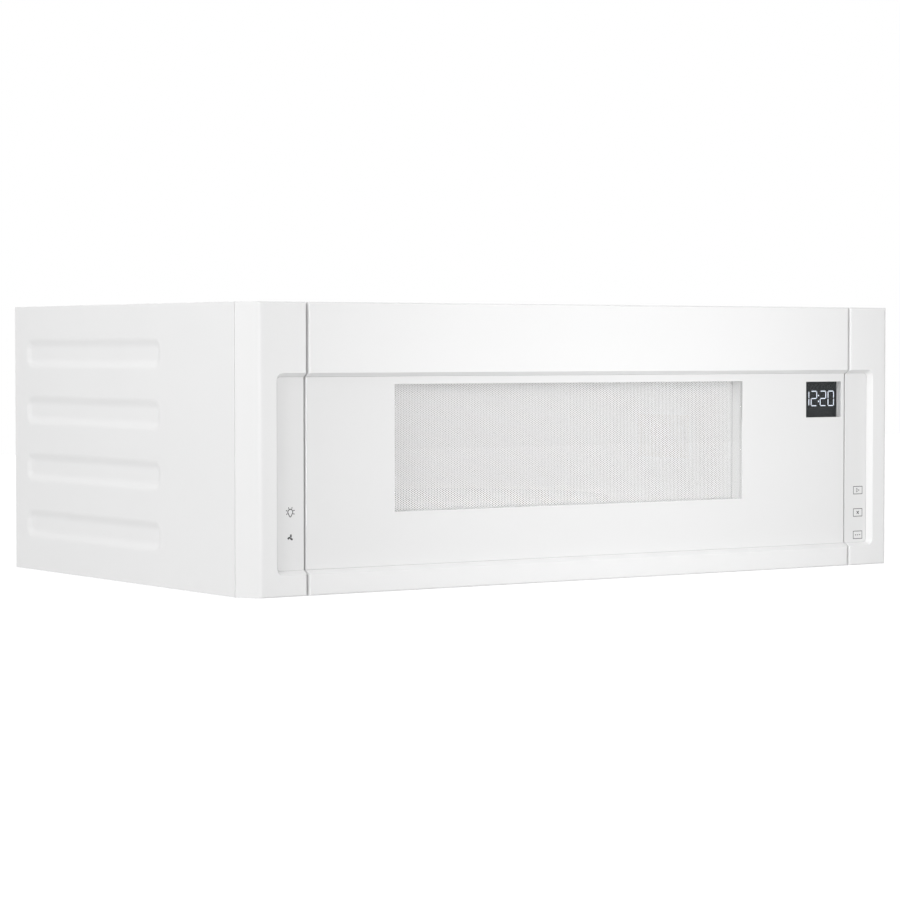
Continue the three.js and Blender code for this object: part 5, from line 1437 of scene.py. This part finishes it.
# %% Rollers and their ring
ROLLER_ROUND = 0.5 * MM
for node in ("roller_ring", "roller_1", "roller_2", "roller_3"):
    softened(node, ROLLER_ROUND, from_angle=35)
print("rollers and ring softened by", ROLLER_ROUND * 1000, "mm")

# %% [markdown]
# ## Underside
# Two grease filters hang in the base: a rim of folded aluminium round layers of expanded mesh, which is
# slit and stretched into diamonds. A pattern printed on a plate would look flat. Each layer is a lattice of
# thin strands, and two crossed layers give the depth that such a pattern would lack. In front of them sit
# the clear lenses of the cooktop lamps.

# %% Expanded mesh
STRAND = 0.7 * MM
STRAND_THICKNESS = 0.35 * MM
STRAND_DIP = 0.35 * MM
DIAMOND = (6.0 * MM, 3.4 * MM)


def lattice(work, x, y, z):
    """Strands that cross in two slanted directions and dip at each crossing."""
    step_x, step_y = DIAMOND
    rows = int((y[1] - y[0]) / step_y)
    columns = int((x[1] - x[0]) / step_x)
    for row in range(rows):
        for direction in (-1, 1):
            previous = None
            for column in range(2 * columns + 1):
                px = x[0] + column * step_x / 2
                zigzag = (column % 2) * direction * step_y / 2
                py = y[0] + (row + 0.5) * step_y + zigzag
                pz = z + (STRAND_DIP if column % 2 else -STRAND_DIP)
                here = [work.verts.new((px, py - STRAND / 2, pz)), work.verts.new((px, py + STRAND / 2, pz))]
                if previous:
                    work.faces.new((previous[0], here[0], here[1], previous[1]))
                previous = here


print("diamonds in mm:", [round(size * 1000, 1) for size in DIAMOND])

# %% Grease filters
FILTER_RIM = 10 * MM
RIM_FOLD = 1.2 * MM
MESH_LAP = 1 * MM
MESH_LAYERS = (2.2 * MM, 4.6 * MM)
SWAP_Y_AND_Z = Matrix(((1, 0, 0, 0), (0, 0, 1, 0), (0, 1, 0, 0), (0, 0, 0, 1)))


def grease_filter(name):
    """The folded rim and two layers of expanded mesh. The rim is laid out upright and then laid flat."""
    low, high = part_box(name)
    x_lines = (low.x, low.x + FILTER_RIM, high.x - FILTER_RIM, high.x)
    y_lines = (low.y, low.y + FILTER_RIM, high.y - FILTER_RIM, high.y)
    flat = cell_plate(f"{name}_rim", x_lines, y_lines, [(1, 1)], (low.z, high.z))
    flat.transform(SWAP_Y_AND_Z)
    flat.flip_normals()
    rim = new_piece(f"{name}_rim", flat, aluminium, BODY_OF[name])
    round_edges(rim, RIM_FOLD, steps=3)
    stands_for(rim, name)
    work = bmesh.new()
    mesh_x = (x_lines[1] - MESH_LAP, x_lines[2] + MESH_LAP)
    mesh_y = (y_lines[1] - MESH_LAP, y_lines[2] + MESH_LAP)
    for layer in MESH_LAYERS:
        lattice(work, mesh_x, mesh_y, low.z + layer)
    mesh = bpy.data.meshes.new(f"{name}_mesh")
    work.to_mesh(mesh)
    work.free()
    strands = new_piece(f"{name}_mesh", mesh, aluminium, BODY_OF[name])
    thicken(strands, STRAND_THICKNESS)
    return len(mesh.polygons)


print("layers of mesh in a filter:", len(MESH_LAYERS))

# %% Pull tabs, and both filters
TAB_OUTLINE = ((-12, 6), (-12, 22), (-8, 27), (8, 27), (12, 22), (12, 6))
TAB_DROP = 0.4 * MM
TAB_WIRE = 0.8 * MM


def pull_tab(name):
    """A bent wire loop at the front of a filter, which a finger pulls. TAB_OUTLINE is in millimetres."""
    low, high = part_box(name)
    middle = (low.x + high.x) / 2
    path = [(middle + x * MM, low.y + y * MM, low.z - TAB_DROP) for x, y in TAB_OUTLINE]
    mesh = wire_mesh(name, [path], TAB_WIRE, resolution=3)
    new_piece(f"{name}_pull_tab", mesh, zinc_steel, BODY_OF[name])


for name, _ in SIDES:
    strand_faces = grease_filter(f"{name}_grease_filter")
    pull_tab(f"{name}_grease_filter")
print("faces in one filter's mesh:", strand_faces)

# %% [markdown]
# ### Lamp lenses
# Each lens is a clear moulding whose fine ribs spread the lamp's light over the cooktop. The ribs could be
# a bump in the finish, but their crests also break the plate's edge, so they are modelled: one zigzag
# outline is drawn at the front and drawn out to the back. The hinge pin lies along the rear edge.

# %% Lamp lenses with moulded ribs
LENS_PLATE = 2.5 * MM
LENS_RIB = 3.0 * MM
RIB_HOLLOW = 0.9 * MM
PIN_RADIUS = 1.2 * MM
PIN_ROUND = 0.3 * MM


def lens_outline(start, end):
    """The plate's section in X and Z, with a crest in the middle of each rib."""
    count = int((end - start) / LENS_RIB)
    outline = [(start, 0.0), (end, 0.0), (end, LENS_PLATE - RIB_HOLLOW)]
    for k in range(count, 0, -1):
        crest = start + (k - 0.5) * (end - start) / count
        hollow = start + (k - 1) * (end - start) / count
        outline += [(crest, LENS_PLATE), (hollow, LENS_PLATE - RIB_HOLLOW)]
    return outline


def lens(name):
    """A clear plate with fine ribs on its upper side and the hinge pin along its rear edge."""
    low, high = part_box(name)
    work = bmesh.new()
    outline = lens_outline(low.x + LENS_PIN_REACH, high.x - LENS_PIN_REACH)
    face = work.faces.new([work.verts.new((px, low.y, pz)) for px, pz in outline])
    pushed = bmesh.ops.extrude_face_region(work, geom=[face])
    moved = [g for g in pushed["geom"] if isinstance(g, bmesh.types.BMVert)]
    bmesh.ops.translate(work, vec=(0, high.y - low.y, 0), verts=moved)
    mesh = mesh_from(f"{name}_ribbed", work)
    stands_for(new_piece(f"{name}_ribbed", mesh, clear_plastic, BODY_OF[name]), name)
    pin = bmesh.new()
    made = bmesh.ops.create_cone(pin, cap_ends=True, segments=20, radius1=PIN_RADIUS, radius2=PIN_RADIUS,
                                 depth=high.x - low.x)
    bmesh.ops.rotate(pin, cent=(0, 0, 0), matrix=Matrix.Rotation(math.pi / 2, 3, "Y"), verts=made["verts"])
    pin_at = ((low.x + high.x) / 2, high.y - PIN_RADIUS, high.z - PIN_RADIUS)
    bmesh.ops.translate(pin, vec=pin_at, verts=made["verts"])
    rod = new_piece(f"{name}_pin", mesh_from(f"{name}_pin", pin), clear_plastic, BODY_OF[name])
    round_edges(rod, PIN_ROUND, from_angle=TURNED_SHARP_FROM)


for name, _ in SIDES:
    lens(f"{name}_cooktop_lens")
print("lenses have ribs at least", LENS_RIB * 1000, "mm wide")

# %% [markdown]
# ## Blower wheels
# A squirrel cage wheel has many thin curved blades between two rings. The solid model has a few straight
# ones, enough for its mass, and could be shown as it is. Here each blade is a short arc, repeated round the
# wheel, because the fine row of blades is what one knows such a wheel by.

# %% Curved blades
BLADES = 36
BLADE_DEPTH = 6 * MM
BLADE_INSET = 0.6 * MM
BLADE_END_GAP = 0.4 * MM
BLADE_THICKNESS = 0.7 * MM
BLADE_ARC = math.radians(70)
BLADE_LEAN = 0.16
BLADE_STEPS = 4


def blade_arc(turn, inner, outer):
    """Points from the inner to the outer edge of a blade, seen along the axis."""
    arc = []
    for step in range(BLADE_STEPS + 1):
        share = step / BLADE_STEPS
        radius = inner + (outer - inner) * share
        lean = turn + BLADE_LEAN * math.sin(share * BLADE_ARC)
        arc.append((radius * math.cos(lean), radius * math.sin(lean)))
    return arc


def wheel_blades(name, middle, half, inner, outer):
    """The ring of blades, each a strip from one end of the wheel to the other."""
    work = bmesh.new()
    for k in range(BLADES):
        arc = blade_arc(2 * math.pi * k / BLADES, inner, outer)
        near, far = ([work.verts.new((middle.x + end, middle.y + py, middle.z + pz)) for py, pz in arc]
                     for end in (-half, half))
        for a, b, c, d in zip(near, near[1:], far[1:], far):
            work.faces.new((a, b, c, d))
    mesh = bpy.data.meshes.new(f"{name}_blades")
    work.to_mesh(mesh)
    work.free()
    blades = new_piece(f"{name}_blades", mesh, black_plastic, BODY_OF[name])
    thicken(blades, BLADE_THICKNESS)
    stands_for(blades, name)


print("one blade every", 360 / BLADES, "degrees")

# %% Hub, disc and rings
WHEEL_STEPS = 48
WHEEL_ROUND = 0.3 * MM
RING_THICKNESS = 2 * MM
HUB_RADIUS = 12 * MM
HUB_HALF = 12 * MM
HUB_BORE = 4.4 * MM
DISC_GAP = 0.2 * MM


def blower_wheel(name):
    """Two rings, a middle disc with its hub, and curved blades."""
    low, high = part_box(name)
    middle = (low + high) / 2
    radius = (high.z - low.z) / 2
    inner = radius - BLADE_DEPTH
    half = (high.x - low.x) / 2
    wheel_blades(name, middle, half - BLADE_END_GAP, inner, radius - BLADE_INSET)
    flat = RING_THICKNESS / 2
    disc = radius - DISC_GAP
    hub_profile = [(HUB_BORE, -HUB_HALF), (HUB_RADIUS, -HUB_HALF), (HUB_RADIUS, -flat), (disc, -flat),
                   (disc, flat), (HUB_RADIUS, flat), (HUB_RADIUS, HUB_HALF), (HUB_BORE, HUB_HALF)]
    ring_profile = [(inner, -flat), (radius, -flat), (radius, flat), (inner, flat)]
    for label, profile, shift in (("hub", hub_profile, 0), ("ring", ring_profile, flat - half),
                                  ("ring.001", ring_profile, half - flat)):
        mesh = turned(f"{name}_{label}", profile, WHEEL_STEPS)
        at = Matrix.Translation((middle.x + shift, middle.y, middle.z))
        mesh.transform(at @ Matrix.Rotation(math.pi / 2, 4, "Y"))
        part = new_piece(f"{name}_{label}", mesh, black_plastic, BODY_OF[name])
        round_edges(part, WHEEL_ROUND, from_angle=TURNED_SHARP_FROM)


for name, _ in SIDES:
    blower_wheel(f"{name}_blower_wheel")
print("blades in each wheel:", BLADES)

# %% [markdown]
# ## Lamps of the oven and the cooktop
# The oven lamp and the two cooktop lamps have one solid each for holder and bulb. The oven lamp takes the
# holder's sheet metal finish as a whole. A cooktop lamp is seen through its lens, so it needs a bulb of
# glass. A ball would do as a first try, but a turned profile gives it a narrow neck, a belly and a round tip.

# %% Oven lamp and cooktop bulbs
LAMP_ROUND = 0.5 * MM
BULB_LENGTH = 14 * MM
BULB_RADIUS = 8.2 * MM
BULB_SINK = 1.5 * MM
NECK_SHARE = 0.7
NECK_END, BELLY_START, DOME_START = 0.25, 0.5, 0.62
DOME_SHARE = 0.95
DOME_ANGLES = (0.3, 0.6, 0.9, 1.2)
BULB_STEPS = 32


def bulb(name, at):
    """A turned bulb that hangs from a point."""
    length, radius = BULB_LENGTH, BULB_RADIUS
    dome = DOME_SHARE * radius
    profile = [(0, 0), (radius * NECK_SHARE, 0), (radius * NECK_SHARE, length * NECK_END)]
    profile.append((radius, length * BELLY_START))
    profile += [(radius * math.cos(t), length * DOME_START + dome * math.sin(t)) for t in DOME_ANGLES]
    profile.append((0, length * DOME_START + dome))
    mesh = turned(name, profile, BULB_STEPS)
    downwards = Vector((0, 0, 1)).rotation_difference(Vector((0, 0, -1))).to_matrix().to_4x4()
    mesh.transform(Matrix.Translation(at) @ downwards)
    smooth(new_piece(name, mesh, lamp_glass, "case"))


softened("cavity_lamp", LAMP_ROUND, material=zinc_steel)
for name, _ in SIDES:
    low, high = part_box(f"{name}_cooktop_lamp")
    middle = (low + high) / 2
    bulb(f"{name}_cooktop_bulb", (middle.x, middle.y, high.z - BULB_SINK))
print("bulbs hang", BULB_LENGTH * 1000, "mm long")

# %% [markdown]
# ## Screws
# The door's inner panel is held to its frame by small screws along both edges. They only show when the
# door is open. A plain cylinder could mark each, but a screw is known by its head: a low dome with a cross
# sunk in it. One is made by a function and repeated.

# %% A screw's head
SCREW_RADIUS = 3.2 * MM
SCREW_HEIGHT = 1.2 * MM
SCREW_SECTORS = 32
SCREW_DOME = ((1.0, 0.0), (1.0, 0.45), (0.86, 0.85), (0.55, 1.0))
CROSS_ARM = 0.14 * SCREW_RADIUS
CROSS_REACH = 0.42 * SCREW_RADIUS
CROSS_FLOOR = 0.35 * SCREW_HEIGHT


def round_and_back(items):
    """Pairs each item with the next, and the last with the first."""
    return list(zip(items, items[1:] + items[:1]))


def screw_mesh(name):
    """A domed head with a sunk cross, its top along +Z. SCREW_DOME gives shares of radius and height."""
    work = bmesh.new()
    turns = [2 * math.pi * k / SCREW_SECTORS for k in range(SCREW_SECTORS)]
    loops = [[work.verts.new((SCREW_RADIUS * share * math.cos(turn), SCREW_RADIUS * share * math.sin(turn),
                              SCREW_HEIGHT * height)) for turn in turns] for share, height in SCREW_DOME]
    for lower, upper in zip(loops, loops[1:]):
        for (a, b), (d, c) in zip(round_and_back(lower), round_and_back(upper)):
            work.faces.new((a, b, c, d))
    arm, reach = CROSS_ARM, CROSS_REACH
    cross = [(arm, arm), (arm, reach), (-arm, reach), (-arm, arm), (-reach, arm), (-reach, -arm),
             (-arm, -arm), (-arm, -reach), (arm, -reach), (arm, -arm), (reach, -arm), (reach, arm)]
    rim = [work.verts.new((x, y, SCREW_HEIGHT)) for x, y in cross]
    sunk = [work.verts.new((x, y, CROSS_FLOOR)) for x, y in cross]
    dome_edges = [work.edges.get(pair) for pair in round_and_back(loops[-1])]
    cross_edges = [work.edges.new(pair) for pair in round_and_back(rim)]
    bmesh.ops.triangle_fill(work, use_beauty=True, edges=dome_edges + cross_edges)
    for (a, b), (d, c) in zip(round_and_back(rim), round_and_back(sunk)):
        work.faces.new((a, b, c, d))
    work.faces.new(sunk)
    work.faces.new(loops[0][::-1])
    return mesh_from(name, work)


print("cross reaches", round(CROSS_REACH * 1000, 2), "mm from the middle of a head")

# %% Drive the screws
SCREW_ROUND = 0.1 * MM
SCREW_X = (-310.6 * MM, 300.0 * MM)
SCREW_Z = (70 * MM, 134 * MM, 200 * MM)
inner_panel_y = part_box("door_inner_panel")[0].y + SHEET
towards_oven = Vector((0, 0, 1)).rotation_difference(Vector((0, 1, 0))).to_matrix().to_4x4()
for column, x in enumerate(SCREW_X):
    for row, z in enumerate(SCREW_Z):
        name = f"door_screw_{column}{row}"
        mesh = screw_mesh(name)
        mesh.transform(Matrix.Translation((x, inner_panel_y, z)) @ towards_oven)
        round_edges(new_piece(name, mesh, bright_steel, "door"), SCREW_ROUND, from_angle=40)
print("door screws:", len(SCREW_X) * len(SCREW_Z))
